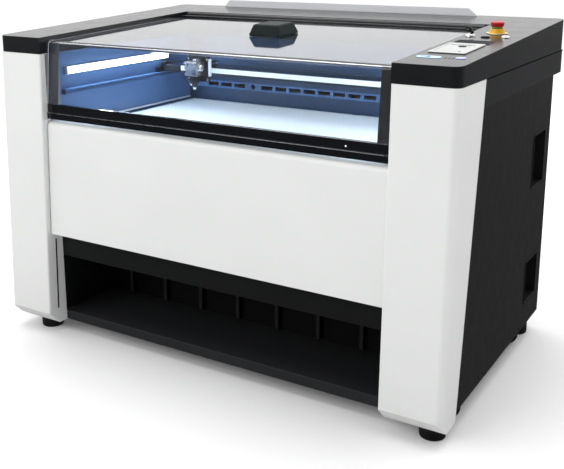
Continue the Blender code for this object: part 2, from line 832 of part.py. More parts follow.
def build_lid():
    pane = side_profile("lid_window", sheet_outline(0, LID_SHEET), (-LID_HALF, LID_HALF), "clear_acrylic")
    pieces = [pane, build_lid_rail(), build_hinge_bar(), build_camera_hood()]
    for name, side in SIDES.items():
        xs = spread(side, LID_HALF - LID_BORDER, LID_HALF)
        under = sheet_outline(LID_SHEET + GAP, LID_SHEET + 0.0025)
        pieces.append(side_profile(f"lid_{name}_frame", under, xs, "black_cap"))
    hang(pivot("lid_pivot", at(0, HINGE_DEPTH, lid_top(HINGE_DEPTH) + HINGE_R)), *pieces)


def build_lid_rail():
    """Lower front rail of the lid, with a finger grip along its underside."""
    outline = [
        (LID_FRONT - 0.004, 0.6205),
        (LID_FRONT + 0.006, 0.6205),
        (LID_FRONT + 0.006, 0.630),
        (LID_FRONT + 0.014, 0.630),
        (LID_FRONT + 0.014, LID_BOTTOM - GAP),
        (LID_FRONT - 0.001, LID_BOTTOM - GAP),
    ]
    return side_profile("lid_rail", outline, (-LID_HALF, LID_HALF), "black_cap")


def build_hinge_bar():
    """Strip over the rear edge of the sheet, with the hinge barrel along it."""
    near = 0.598
    thick = 0.0045
    outline = [
        (near, lid_top(near) + GAP),
        (HINGE_DEPTH, lid_top(HINGE_DEPTH) + GAP),
        (HINGE_DEPTH, lid_top(HINGE_DEPTH) + thick),
        (near, lid_top(near) + thick),
    ]
    bar = side_profile("lid_hinge_bar", outline, (-0.490, 0.490), "black_cap")
    place = at(0, HINGE_DEPTH, lid_top(HINGE_DEPTH) + HINGE_R)
    barrel = rod("hinge_barrel", HINGE_R - 0.0003, (-0.488, 0.488), place, steps=16)
    barrel.rotation_euler.y = math.radians(90)
    return join(bar, barrel)


def build_camera_hood():
    """Low housing for the bed camera, on the middle of the sheet."""
    x, depth = 0.0055, 0.3515
    width, length, height = 0.098, 0.105, 0.030
    taper = 0.78
    corner = math.sqrt(2) / 2
    shape = Matrix.Diagonal((width, length, 1.0, 1.0)) @ Matrix.Rotation(math.radians(45), 4, "Z")
    bm = bmesh.new()
    bmesh.ops.create_cone(
        bm, cap_ends=True, segments=4, radius1=corner, radius2=corner * taper, depth=height, matrix=shape
    )
    bmesh.ops.translate(bm, verts=bm.verts, vec=(0, 0, height / 2))
    hood = part("camera_hood", mesh_of(bm, "camera_hood"), at(x, depth, lid_top(depth) + GAP), "black_cap")
    round_edges(tilted(hood), 0.004)
    return hood


# ---------------------------------------------------------------- front door

def door_outline(inset):
    """Side view of the door: upright front, round upper edge, open to the rear."""
    slant = 0.011
    centre = (slant + DOOR_EDGE_R, DOOR_TOP - DOOR_EDGE_R)
    reach = DOOR_THICK + (0.02 if inset else 0)
    points = [(reach, DOOR_BOTTOM + inset), (inset, DOOR_BOTTOM + inset), (slant + inset, centre[1])]
    points += arc(centre, DOOR_EDGE_R - inset, 165, 90, 4)
    points.append((reach, DOOR_TOP - inset))
    return points


def build_front_door():
    door = side_profile("front_door", door_outline(0), (-LID_HALF, LID_HALF), "white_paint")
    reach = LID_HALF - DOOR_SKIN
    hollow = side_profile("door_hollow", door_outline(DOOR_SKIN), (-reach, reach))
    cut(door, hollow)
    hang(pivot("door_pivot", at(0, DOOR_THICK, DOOR_HINGE_Z)), door)


# ---------------------------------------------------------------- controls

def on_cap(x, depth):
    """A point on the sloping top of the right arm, just clear of it."""
    return at(x, depth, cap_top(depth)) + Vector((0, -math.sin(TILT), math.cos(TILT))) * GAP


def build_controls():
    build_display()
    build_emergency_stop()
    build_key_switch()
    build_start_button()


def tilted(obj):
    obj.rotation_euler.x = TILT
    return obj


def flat_box(name, place, size, paint=None, rise=0.0):
    """A box that lies on the sloping cap, centred on a point there."""
    bm = bmesh.new()
    bmesh.ops.create_cube(bm, size=1.0, matrix=Matrix.Diagonal((*size, 1.0)))
    bmesh.ops.translate(bm, verts=bm.verts, vec=(0, 0, size[2] / 2 + rise))
    return tilted(part(name, mesh_of(bm, name), place, paint))


def build_display():
    place = on_cap(0.5625, 0.2160)
    display = flat_box("control_display", place, (0.085, 0.139, 0.004), "display")
    cut(display, flat_box("display_well", place, (0.073, 0.110, 0.004), rise=0.003))
    round_edges(display, 0.0008)
    return display


def build_emergency_stop():
    place = on_cap(0.5685, 0.481)
    base = tilted(rod("estop_base", 0.028, (0, 0.003), place, "yellow_plastic", steps=32))
    collar = tilted(turned("estop_collar", [(0, 0.012), (0.0162, 0.012), (0.0185, 0.001), (0, 0.001)], place))
    socket = tilted(rod("estop_socket", 0.0095, (0.004, 0.03), place))
    join(base, collar)
    cut(base, socket)
    profile = [
        (0, 0.0305),
        (0.010, 0.0300),
        (0.0150, 0.0280),
        (0.0165, 0.0245),
        (0.0160, 0.0190),
        (0.0145, 0.0170),
        (0.0090, 0.0170),
        (0.0090, 0.0085),
        (0, 0.0085),
    ]
    tilted(turned("estop_button", profile, place, "red_plastic"))


def build_key_switch():
    place = on_cap(0.5245, 0.412)
    barrel = tilted(rod("key_switch_barrel", 0.0125, (0, 0.006), place, "chrome", bore=0.0085))
    round_edges(barrel, 0.001)
    key = tilted(rod("key", 0.0080, (0.0005, 0.007), place, "black_cap"))
    bow = flat_box("key_bow", place, (0.024, 0.004, 0.018), rise=0.006)
    join(key, bow)


def build_start_button():
    place = on_cap(0.609, 0.417)
    tilted(rod("start_button_ring", 0.0105, (0, 0.003), place, "chrome", bore=0.0082))
    profile = [(0, 0.0055), (0.0065, 0.0052), (0.0078, 0.0040), (0.0078, 0.0025), (0, 0.0025)]
    tilted(turned("start_button", profile, place, "chrome"))


def build_machine():
    build_base_frame()
    build_base_tray()
    build_levelling_feet()
    build_casters()
    build_niche_back()
    build_niche_fascia()
    build_chamber_floor()
    build_inner_walls()
    build_side_panels()
    build_rear_panel()
    build_exhaust_port()
    build_power_inlet()
    build_columns()
    build_bands()
    build_top_cap()
    build_rear_plate()
    build_chamber_rear_wall()
    build_rails()
    build_light_bars()
    build_laser_tube()
    build_power_supply()
    build_bed()
    build_gantry()
    build_lid()
    build_front_door()
    build_controls()


build_machine()
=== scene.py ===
"""Looks of the floor-standing laser cutter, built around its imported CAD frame.

Everything is in metres in the frame's own axes: +X across the machine, front towards -Y, +Z up.
"""

import json
import math

import bmesh
import bpy
from mathutils import Matrix, Vector


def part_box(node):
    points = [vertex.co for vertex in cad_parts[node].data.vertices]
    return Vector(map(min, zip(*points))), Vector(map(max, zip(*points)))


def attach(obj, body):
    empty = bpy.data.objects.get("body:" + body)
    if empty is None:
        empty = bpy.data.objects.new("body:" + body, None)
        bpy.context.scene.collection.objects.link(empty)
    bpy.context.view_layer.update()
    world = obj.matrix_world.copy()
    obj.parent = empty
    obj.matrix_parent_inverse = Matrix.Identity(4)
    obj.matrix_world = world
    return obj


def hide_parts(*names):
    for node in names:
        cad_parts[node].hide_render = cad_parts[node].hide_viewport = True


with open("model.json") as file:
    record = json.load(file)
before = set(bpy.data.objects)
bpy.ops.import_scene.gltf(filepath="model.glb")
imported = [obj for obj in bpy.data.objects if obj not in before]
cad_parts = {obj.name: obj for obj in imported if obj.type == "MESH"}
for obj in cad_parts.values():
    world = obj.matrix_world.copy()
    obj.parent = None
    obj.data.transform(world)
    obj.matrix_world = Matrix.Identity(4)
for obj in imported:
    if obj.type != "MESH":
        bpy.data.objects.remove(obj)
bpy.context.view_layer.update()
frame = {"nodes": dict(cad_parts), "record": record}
NODES = frame["nodes"]
SIDES = {"left": -1, "right": 1}
ENDS = ("front", "rear")


# ---- places read from the frame

def low(node):
    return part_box(node)[0]


def high(node):
    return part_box(node)[1]


def middle(node):
    return (low(node) + high(node)) / 2


FRONT_Y = low("top_cap").y
CAP_FRONT_Z = 0.837
CAP_SLOPE = (high("top_cap").z - CAP_FRONT_Z) / (high("top_cap").y - FRONT_Y)
CAP_TILT = math.atan(CAP_SLOPE)
LID_DROP = 0.0125
LID_SHEET = 0.005
PLINTH_Z = 0.0697
TABLE_Z = high("bed_table").z
CHAMBER_FLOOR_Z = low("chamber_floor").z
CABINET_REAR_Y = high("rear_panel").y
SIDE_X = high("right_side_panel").x
CAP_X = high("top_cap").x
MOUTH_X = low("right_column").x
TRIM_LIFT = 0.0003


def cap_top(y):
    """Height of the cap's sloping top at this y."""
    return CAP_FRONT_Z + (y - FRONT_Y) * CAP_SLOPE


def on_cap(x, y, lift=0.0):
    """A frame on the sloping cap, with +Z square to it."""
    base = Matrix.Translation((x, y, cap_top(y))) @ Matrix.Rotation(CAP_TILT, 4, "X")
    return base @ Matrix.Translation((0, 0, lift))


def foot_of(node):
    """The frame on the cap under a control that stands square to it."""
    centre = middle(node)
    height = (centre.z - cap_top(centre.y)) * math.cos(CAP_TILT)
    return on_cap(centre.x, centre.y + height * math.sin(CAP_TILT))


# ---- stage, lights and camera

def map_range(tree, value, start, end, lowest, highest):
    """Adds a node that maps start..end onto lowest..highest."""
    node = tree.nodes.new("ShaderNodeMapRange")
    for socket, number in zip(("From Min", "From Max", "To Min", "To Max"), (start, end, lowest, highest)):
        node.inputs[socket].default_value = number
    tree.links.new(value, node.inputs["Value"])
    return node.outputs["Result"]


def build_camera():
    data = bpy.data.cameras.new("camera")
    camera = bpy.data.objects.new("camera", data)
    bpy.context.scene.collection.objects.link(camera)
    data.sensor_width = 36.0
    data.lens = 55.4
    data.shift_y = -0.138
    data.clip_end = 50
    camera.location = (1.2165, FRONT_Y - 1.627, 1.057)
    camera.rotation_euler = (math.radians(90 - 13.31), 0, math.radians(30.93))
    bpy.context.scene.camera = camera
    bpy.context.scene.view_settings.view_transform = "Standard"


def area_light(name, place, aim, size, power, colour=(1, 1, 1), along=(1, 0, 0), seen=True):
    """A rectangular light that shines along aim, with its first side along the given direction."""
    data = bpy.data.lights.new(name, "AREA")
    data.shape = "RECTANGLE"
    data.size, data.size_y = size
    data.energy = power
    data.color = colour
    light = bpy.data.objects.new(name, data)
    bpy.context.scene.collection.objects.link(light)
    back = -Vector(aim).normalized()
    side = Vector(along)
    side = (side - back * side.dot(back)).normalized()
    turn = Matrix((side, back.cross(side), back)).transposed()
    light.matrix_world = Matrix.Translation(place) @ turn.to_4x4()
    light.visible_camera = seen
    light.visible_glossy = seen
    light.visible_transmission = seen
    return light


def build_world():
    """White studio: the backdrop is plain, and what lights the scene is darker low in front."""
    world = bpy.data.worlds.new("studio")
    bpy.context.scene.world = world
    world.use_nodes = True
    tree = world.node_tree
    background = tree.nodes["Background"]
    background.inputs["Color"].default_value = (1, 1, 1, 1)
    coords = tree.nodes.new("ShaderNodeTexCoord")
    split = tree.nodes.new("ShaderNodeSeparateXYZ")
    tree.links.new(coords.outputs["Generated"], split.inputs["Vector"])
    across = tree.nodes.new("ShaderNodeVectorMath")
    across.operation = "DOT_PRODUCT"
    across.inputs[1].default_value = (-0.38, 1.0, 0.0)
    tree.links.new(coords.outputs["Generated"], across.inputs[0])
    level = map_range(tree, across.outputs["Value"], -0.8, 0.3, 0.22, 1.08)
    sky = map_range(tree, split.outputs["Z"], -0.06, 0.03, 0.10, 1.0)
    shaded = tree.nodes.new("ShaderNodeMath")
    shaded.operation = "MULTIPLY"
    tree.links.new(level, shaded.inputs[0])
    tree.links.new(sky, shaded.inputs[1])
    path = tree.nodes.new("ShaderNodeLightPath")
    mix = tree.nodes.new("ShaderNodeMix")
    tree.links.new(path.outputs["Is Camera Ray"], mix.inputs["Factor"])
    tree.links.new(shaded.outputs[0], mix.inputs["A"])
    mix.inputs["B"].default_value = 1.02
    tree.links.new(mix.outputs["Result"], background.inputs["Strength"])


def build_stage():
    bm = bmesh.new()
    bmesh.ops.create_grid(bm, x_segments=1, y_segments=1, size=12)
    floor = mesh_object("floor", bm)
    floor.data.materials.append(floor_material().material)
    floor.visible_glossy = False


def build_lights():
    """A key light from the left, a broad one overhead, and the glow of the two light bars."""
    area_light("key", (-1.4, -3.6, 2.6), (0.30, 0.90, -0.55), (3.0, 2.2), 54)
    area_light("overhead", (0.2, 0.5, 3.4), (0, 0, -1), (5.0, 4.4), 104)
    centre = middle("left_light_bar")
    length = high("left_light_bar").y - low("left_light_bar").y - 0.02
    cold = (0.62, 0.80, 1.0)
    beside_bar = 0.4865
    for name, side in SIDES.items():
        place = (side * beside_bar, centre.y, centre.z)
        aim = (-side * 0.95, 0.0, -0.30)
        area_light(f"{name}_strip", place, aim, (length, 0.018), 3.6, cold, (0, 1, 0), seen=False)


# ---- mesh helpers

def mesh_object(name, bm):
    mesh = bpy.data.meshes.new(name)
    bm.to_mesh(mesh)
    bm.free()
    obj = bpy.data.objects.new(name, mesh)
    bpy.context.scene.collection.objects.link(obj)
    return obj


def piece(name, bm, paint, body, matrix=None, replaces=(), round_off=0.0, segments=2, smooth=35):
    """A finished piece of the machine, in its material, riding on a body."""
    if matrix is not None:
        bm.transform(matrix)
    bmesh.ops.recalc_face_normals(bm, faces=bm.faces)
    obj = mesh_object(name, bm)
    obj.data.shade_smooth()
    obj.data.set_sharp_from_angle(angle=math.radians(smooth))
    obj.data.materials.append(PAINTS[paint])
    if round_off:
        bevel_edges(obj, round_off, segments)
    weigh_normals(obj)
    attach(obj, body)
    if replaces:
        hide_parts(*replaces)
    return obj


def bevel_edges(obj, width, segments=2, limit=30):
    bevel = obj.modifiers.new("soft_edges", "BEVEL")
    bevel.width = width
    bevel.segments = segments
    bevel.limit_method = "ANGLE"
    bevel.angle_limit = math.radians(limit)
    bevel.harden_normals = True
    return bevel


def weigh_normals(obj):
    """Keeps large flat faces flat beside small round ones."""
    weighted = obj.modifiers.new("flat_faces", "WEIGHTED_NORMAL")
    weighted.mode = "FACE_AREA"
    weighted.weight = 100
    weighted.keep_sharp = True


def merge(bm, other, matrix=None):
    """Adds another shape to this one, and frees it."""
    if matrix is not None:
        other.transform(matrix)
    mesh = bpy.data.meshes.new("merged")
    other.to_mesh(mesh)
    other.free()
    bm.from_mesh(mesh)
    bpy.data.meshes.remove(mesh)
    return bm


def lathe(profile, segments=48, closed=False):
    """Turns (r, z) points about Z. A closed profile makes a ring."""
    bm = bmesh.new()
    rings = []
    for r, z in profile:
        if r == 0:
            rings.append([bm.verts.new((0, 0, z))])
            continue
        angles = [2 * math.pi * i / segments for i in range(segments)]
        rings.append([bm.verts.new((r * math.cos(a), r * math.sin(a), z)) for a in angles])
    pairs = list(zip(rings, rings[1:]))
    if closed:
        pairs.append((rings[-1], rings[0]))
    for one, two in pairs:
        for i in range(segments):
            j = i + 1
            corners = [one[i % len(one)], one[j % len(one)], two[j % len(two)], two[i % len(two)]]
            corners = list(dict.fromkeys(corners))
            if len(corners) > 2:
                bm.faces.new(corners)
    return bm


def block(size, radius=0.0, segments=3):
    """A box about the origin with round edges."""
    bm = bmesh.new()
    bmesh.ops.create_cube(bm, size=1.0, matrix=Matrix.Diagonal((*size, 1.0)))
    if radius:
        bmesh.ops.bevel(bm, geom=bm.edges[:], offset=radius, segments=segments, profile=0.5,
                        affect="EDGES", clamp_overlap=True)
    return bm


def span(lower, upper, radius=0.0, segments=3):
    """A round-edged box between two corners."""
    lower, upper = Vector(lower), Vector(upper)
    bm = block(upper - lower, radius, segments)
    bm.transform(Matrix.Translation((lower + upper) / 2))
    return bm


def side_span(side, xs, ys, zs, radius=0.0003, segments=1):
    """A round-edged box on one side of the machine, between two distances from its middle."""
    near, far = sorted((side * xs[0], side * xs[1]))
    return span((near, ys[0], zs[0]), (far, ys[1], zs[1]), radius, segments)


def both_sides(xs, ys, zs, radius=0.0003, segments=1):
    bm = bmesh.new()
    for side in SIDES.values():
        merge(bm, side_span(side, xs, ys, zs, radius, segments))
    return bm


def slab(outline, thickness):
    """A flat plate: an outline in XY, from z = 0 up to its thickness."""
    bm = bmesh.new()
    face = bm.faces.new([bm.verts.new((x, y, 0)) for x, y in outline])
    grown = bmesh.ops.extrude_face_region(bm, geom=[face])
    top = [v for v in grown["geom"] if isinstance(v, bmesh.types.BMVert)]
    bmesh.ops.translate(bm, verts=top, vec=(0, 0, thickness))
    return bm


def round_rect(width, height, radius, steps=5):
    points = []
    for k, (sx, sy) in enumerate(((1, 1), (-1, 1), (-1, -1), (1, -1))):
        cx = sx * (width / 2 - radius)
        cy = sy * (height / 2 - radius)
        for i in range(steps + 1):
            a = math.radians(90 * k + 90 * i / steps)
            points.append((cx + radius * math.cos(a), cy + radius * math.sin(a)))
    return points


def ring_plate(outer, inner, thickness):
    """A flat frame between two outlines that have as many points as each other."""
    bm = bmesh.new()
    loops = []
    for outline, z in ((outer, 0), (outer, thickness), (inner, thickness), (inner, 0)):
        loops.append([bm.verts.new((x, y, z)) for x, y in outline])
    for k in range(4):
        one, two = loops[k], loops[(k + 1) % 4]
        for i in range(len(one)):
            j = (i + 1) % len(one)
            bm.faces.new([one[i], one[j], two[j], two[i]])
    return bm


def tube_along(points, radius, sides=12):
    """A round wire through points, with flat ends."""
    bm = bmesh.new()
    rings = []
    for i, point in enumerate(points):
        before = points[max(i - 1, 0)]
        after = points[min(i + 1, len(points) - 1)]
        way = (Vector(after) - Vector(before)).normalized()
        across = way.orthogonal().normalized()
        if rings:
            across = (last - way * last.dot(way)).normalized()
        last = across
        other = way.cross(across)
        ring = []
        for k in range(sides):
            a = 2 * math.pi * k / sides
            ring.append(bm.verts.new(Vector(point) + (across * math.cos(a) + other * math.sin(a)) * radius))
        rings.append(ring)
    for one, two in zip(rings, rings[1:]):
        for k in range(sides):
            bm.faces.new([one[k], one[(k + 1) % sides], two[(k + 1) % sides], two[k]])
    bm.faces.new(rings[0])
    bm.faces.new(rings[-1])
    return bm


def at(x, y, z):
    return Matrix.Translation((x, y, z))


def from_side(x):
    """Lays an outline of (y, z) points in the side view that starts at this x."""
    return Matrix(((0, 0, 1, x), (1, 0, 0, 0), (0, 1, 0, 0), (0, 0, 0, 1)))


def facing(direction):
    """A turn that carries +Z onto the direction."""
    return Vector(direction).to_track_quat("Z", "Y").to_matrix().to_4x4()


def screws(name, places, direction, radius, paint, body):
    """Button-head screws with a hex-like socket, as one piece."""
    height = radius * 0.55
    profile = [(0, height * 0.35), (radius * 0.42, height * 0.35), (radius * 0.45, height),
               (radius * 0.65, height * 0.92), (radius * 0.92, height * 0.45), (radius, 0), (0, 0)]
    bm = bmesh.new()
    for place in places:
        merge(bm, lathe(profile, 20), at(*place) @ facing(direction))
    return piece(name, bm, paint, body)


# ---- materials

CHAMBER_BLUE = (0.060, 0.125, 0.260)


class Nodes:
    """A new Principled material and short ways to add nodes to it."""

    def __init__(self, name, colour, roughness, metallic=0.0, **sockets):
        self.name = name
        self.material = bpy.data.materials.new(name)
        self.material.use_nodes = True
        self.tree = self.material.node_tree
        self.shader = self.tree.nodes["Principled BSDF"]
        self.shader.inputs["Base Color"].default_value = (*colour, 1)
        self.shader.inputs["Roughness"].default_value = roughness
        self.shader.inputs["Metallic"].default_value = metallic
        for socket, value in sockets.items():
            self.shader.inputs[socket.replace("_", " ")].default_value = value
        self.coords = self.tree.nodes.new("ShaderNodeTexCoord").outputs["Object"]

    def add(self, kind, **values):
        node = self.tree.nodes.new(kind)
        for key, value in values.items():
            setattr(node, key, value)
        return node

    def link(self, source, target):
        self.tree.links.new(source, target)

    def noise(self, scale, detail=3.0, stretch=(1, 1, 1)):
        mapping = self.add("ShaderNodeMapping")
        mapping.inputs["Scale"].default_value = stretch
        self.link(self.coords, mapping.inputs["Vector"])
        texture = self.add("ShaderNodeTexNoise")
        texture.inputs["Scale"].default_value = scale
        texture.inputs["Detail"].default_value = detail
        self.link(mapping.outputs["Vector"], texture.inputs["Vector"])
        return texture.outputs["Fac"]

    def spread(self, value, lowest, highest, start=0.3, end=0.7):
        """Maps a texture onto lowest to highest."""
        return map_range(self.tree, value, start, end, lowest, highest)

    def tint(self, value, dark, light):
        """A colour between dark and light, as the texture says."""
        ramp = self.add("ShaderNodeValToRGB")
        ramp.color_ramp.elements[0].position = 0.3
        ramp.color_ramp.elements[0].color = (*dark, 1)
        ramp.color_ramp.elements[1].position = 0.7
        ramp.color_ramp.elements[1].color = (*light, 1)
        self.link(value, ramp.inputs["Fac"])
        return ramp.outputs["Color"]

    def mix(self, factor, one, two):
        node = self.add("ShaderNodeMix", data_type="RGBA")
        self.link(factor, node.inputs["Factor"])
        for colour, socket in ((one, node.inputs[6]), (two, node.inputs[7])):
            if isinstance(colour, tuple):
                socket.default_value = (*colour, 1)
            else:
                self.link(colour, socket)
        return node.outputs[2]

    def axis(self, name):
        split = self.add("ShaderNodeSeparateXYZ")
        self.link(self.coords, split.inputs["Vector"])
        return split.outputs[name]

    def band(self, name, start, end):
        """1 between two places along an axis, else 0."""
        value = self.axis(name)
        above = self.add("ShaderNodeMath", operation="GREATER_THAN")
        self.link(value, above.inputs[0])
        above.inputs[1].default_value = start
        below = self.add("ShaderNodeMath", operation="LESS_THAN")
        self.link(value, below.inputs[0])
        below.inputs[1].default_value = end
        both = self.add("ShaderNodeMath", operation="MULTIPLY")
        self.link(above.outputs[0], both.inputs[0])
        self.link(below.outputs[0], both.inputs[1])
        return both.outputs[0]

    def bump(self, height, distance, strength=1.0):
        node = self.add("ShaderNodeBump")
        node.inputs["Distance"].default_value = distance
        node.inputs["Strength"].default_value = strength
        self.link(height, node.inputs["Height"])
        self.link(node.outputs["Normal"], self.shader.inputs["Normal"])

    def colour(self, output):
        self.link(output, self.shader.inputs["Base Color"])

    def roughness(self, output):
        self.link(output, self.shader.inputs["Roughness"])

    def grain(self, scale, depth):
        """Fine bumps all over."""
        self.bump(self.noise(scale, 2.0), depth)

    def blotches(self, colour, scale, detail, down, up):
        """The colour, a little darker and lighter from place to place."""
        return self.tint(self.noise(scale, detail), shade(colour, down), shade(colour, up))

    def uneven_gloss(self, scale, detail, lowest, highest):
        self.roughness(self.spread(self.noise(scale, detail), lowest, highest))


def shade(colour, factor):
    return tuple(channel * factor for channel in colour)


def powder_coat(name, colour, roughness, grain=1100.0, depth=0.00004, mottle=0.05, gloss=0.5):
    """Powder coat: fine orange peel, faint mottling and uneven gloss."""
    nodes = Nodes(name, colour, roughness, Specular_IOR_Level=gloss)
    nodes.grain(grain, depth)
    nodes.colour(nodes.blotches(colour, 6.0, 4.0, 1 - mottle, 1 + mottle))
    nodes.uneven_gloss(26.0, 4.0, roughness - 0.03, roughness + 0.04)
    return nodes


def white_paint():
    """White satin coat that greys a little towards the floor, where shoes and mops reach it."""
    colour = (0.775, 0.785, 0.775)
    scuffed = (0.60, 0.60, 0.58)
    nodes = Nodes("white_paint", colour, 0.34)
    nodes.grain(900.0, 0.00003)
    clean = nodes.blotches(colour, 5.0, 3.0, 0.985, 1.01)
    low_down = nodes.spread(nodes.axis("Z"), 0.30, 0.0, 0.03, 0.14)
    patches = nodes.spread(nodes.noise(34.0, 5.0), 0.0, 1.0, 0.42, 0.72)
    scuff = nodes.add("ShaderNodeMath", operation="MULTIPLY")
    nodes.link(low_down, scuff.inputs[0])
    nodes.link(patches, scuff.inputs[1])
    nodes.colour(nodes.mix(scuff.outputs[0], clean, scuffed))
    nodes.uneven_gloss(18.0, 4.0, 0.30, 0.40)
    return nodes


def black_cap_paint():
    """Black satin casting: dark square on, bright at a glancing view."""
    colour = (0.0095, 0.0105, 0.0125)
    nodes = Nodes("black_cap", colour, 0.22, Specular_IOR_Level=0.62)
    nodes.grain(1000.0, 0.00001)
    nodes.colour(nodes.blotches(colour, 6.0, 4.0, 0.92, 1.08))
    nodes.uneven_gloss(22.0, 4.0, 0.19, 0.24)
    return nodes


def inner_wall_paint():
    """Blue-grey in the work chamber, and black below its floor, in the storage niche."""
    nodes = Nodes("inner_wall_paint", CHAMBER_BLUE, 0.38)
    below = nodes.band("Z", -1.0, CHAMBER_FLOOR_Z)
    niche_black = (0.006, 0.007, 0.008)
    nodes.colour(nodes.mix(below, nodes.blotches(CHAMBER_BLUE, 9.0, 4.0, 0.92, 1.08), niche_black))
    nodes.grain(900.0, 0.00004)
    nodes.uneven_gloss(24.0, 3.0, 0.34, 0.44)
    return nodes


def niche_back_paint():
    """Deep black panel; the front faces of its ribs get a thin grey as painted highlight, where they stand
    nearer the light.
    """
    nodes = Nodes("niche_back_paint", (0.003, 0.003, 0.003), 0.45, Specular_IOR_Level=0.2)
    rib_depth = 0.004
    # thin grey on the rib fronts: painted highlight
    rib_painted_highlight = (0.022, 0.024, 0.026)
    ribs = nodes.band("Y", -1.0, low("niche_back_panel").y + rib_depth)
    mottled = nodes.tint(nodes.noise(9.0, 4.0), (0.0028, 0.0030, 0.0032), (0.0036, 0.0038, 0.0040))
    nodes.colour(nodes.mix(ribs, mottled, rib_painted_highlight))
    nodes.grain(900.0, 0.00004)
    nodes.uneven_gloss(24.0, 3.0, 0.40, 0.50)
    return nodes


def rear_wall_paint():
    """Chamber blue darkened to a third on the wall as painted shade, with the slotted strip across it in
    about the plain chamber blue.
    """
    # the wall colour is a darker copy of the chamber blue: painted shade for the dim rear wall
    dark = shade(CHAMBER_BLUE, 0.34)
    strip_zs = (0.6299, 0.6531)
    nodes = Nodes("rear_wall_paint", dark, 0.40)
    strip = nodes.band("Z", *strip_zs)
    nodes.colour(nodes.mix(strip, nodes.blotches(dark, 9.0, 4.0, 0.92, 1.08), shade(CHAMBER_BLUE, 1.05)))
    nodes.grain(900.0, 0.00004)
    nodes.uneven_gloss(24.0, 3.0, 0.36, 0.46)
    return nodes


def brushed(name, colour, roughness, stretch=(2, 60, 60), metallic=1.0):
    """Metal with a fine brushed grain."""
    nodes = Nodes(name, colour, roughness, metallic)
    grain = nodes.noise(30.0, 4.0, stretch)
    nodes.bump(grain, 0.00003)
    nodes.colour(nodes.tint(grain, shade(colour, 0.92), shade(colour, 1.04)))
    nodes.uneven_gloss(40.0, 3.0, roughness - 0.04, roughness + 0.05)
    return nodes


def moulded(name, colour, roughness, grain=1400.0, depth=0.00004, gloss=0.5):
    """Moulded plastic or rubber with a fine texture."""
    nodes = Nodes(name, colour, roughness, Specular_IOR_Level=gloss)
    nodes.grain(grain, depth)
    nodes.colour(nodes.blotches(colour, 30.0, 3.0, 0.90, 1.10))
    nodes.uneven_gloss(60.0, 3.0, roughness - 0.04, roughness + 0.05)
    return nodes


def acrylic(name, colour, roughness, clearness=1.0, ior=1.36):
    """Clear sheet with a trace of dust and wiping marks in its gloss."""
    nodes = Nodes(name, colour, roughness, IOR=ior, Transmission_Weight=clearness)
    smear = nodes.noise(9.0, 5.0, (1, 3, 1))
    nodes.roughness(nodes.spread(smear, roughness, roughness + 0.02))
    nodes.colour(nodes.blotches(colour, 4.0, 3.0, 0.99, 1.0))
    return nodes


def glowing(name, colour, strength):
    """Lit diffuser with a slight unevenness along its length."""
    nodes = Nodes(name, colour, 0.4)
    glow = nodes.blotches(colour, 14.0, 3.0, 0.94, 1.0)
    nodes.colour(glow)
    nodes.link(glow, nodes.shader.inputs["Emission Color"])
    nodes.shader.inputs["Emission Strength"].default_value = strength
    return nodes


def floor_material():
    """White paper that glows faintly, more so further from the machine, like a lit studio sweep."""
    nodes = Nodes("floor_paper", (0.93, 0.93, 0.93), 0.75, Specular_IOR_Level=0.2, Emission_Strength=0.35)
    reach = nodes.add("ShaderNodeVectorMath", operation="LENGTH")
    nodes.link(nodes.coords, reach.inputs[0])
    far = map_range(nodes.tree, reach.outputs["Value"], 1.0, 3.6, 0.15, 1.0)
    nodes.link(far, nodes.shader.inputs["Emission Color"])
    nodes.bump(nodes.noise(60.0), 0.0002)
    nodes.colour(nodes.tint(nodes.noise(3.0), (0.925, 0.925, 0.925), (0.935, 0.935, 0.935)))
    return nodes


def table_material():
    """Bright matt table with a fine honeycomb of cells."""
    colour = (0.88, 0.92, 0.94)
    nodes = Nodes("bed_surface", colour, 0.42)
    cells = nodes.add("ShaderNodeTexVoronoi", feature="DISTANCE_TO_EDGE")
    cells.inputs["Scale"].default_value = 120.0
    nodes.link(nodes.coords, cells.inputs["Vector"])
    nodes.bump(cells.outputs["Distance"], 0.0003, 0.3)
    nodes.colour(nodes.blotches(colour, 5.0, 3.0, 0.975, 1.0))
    return nodes


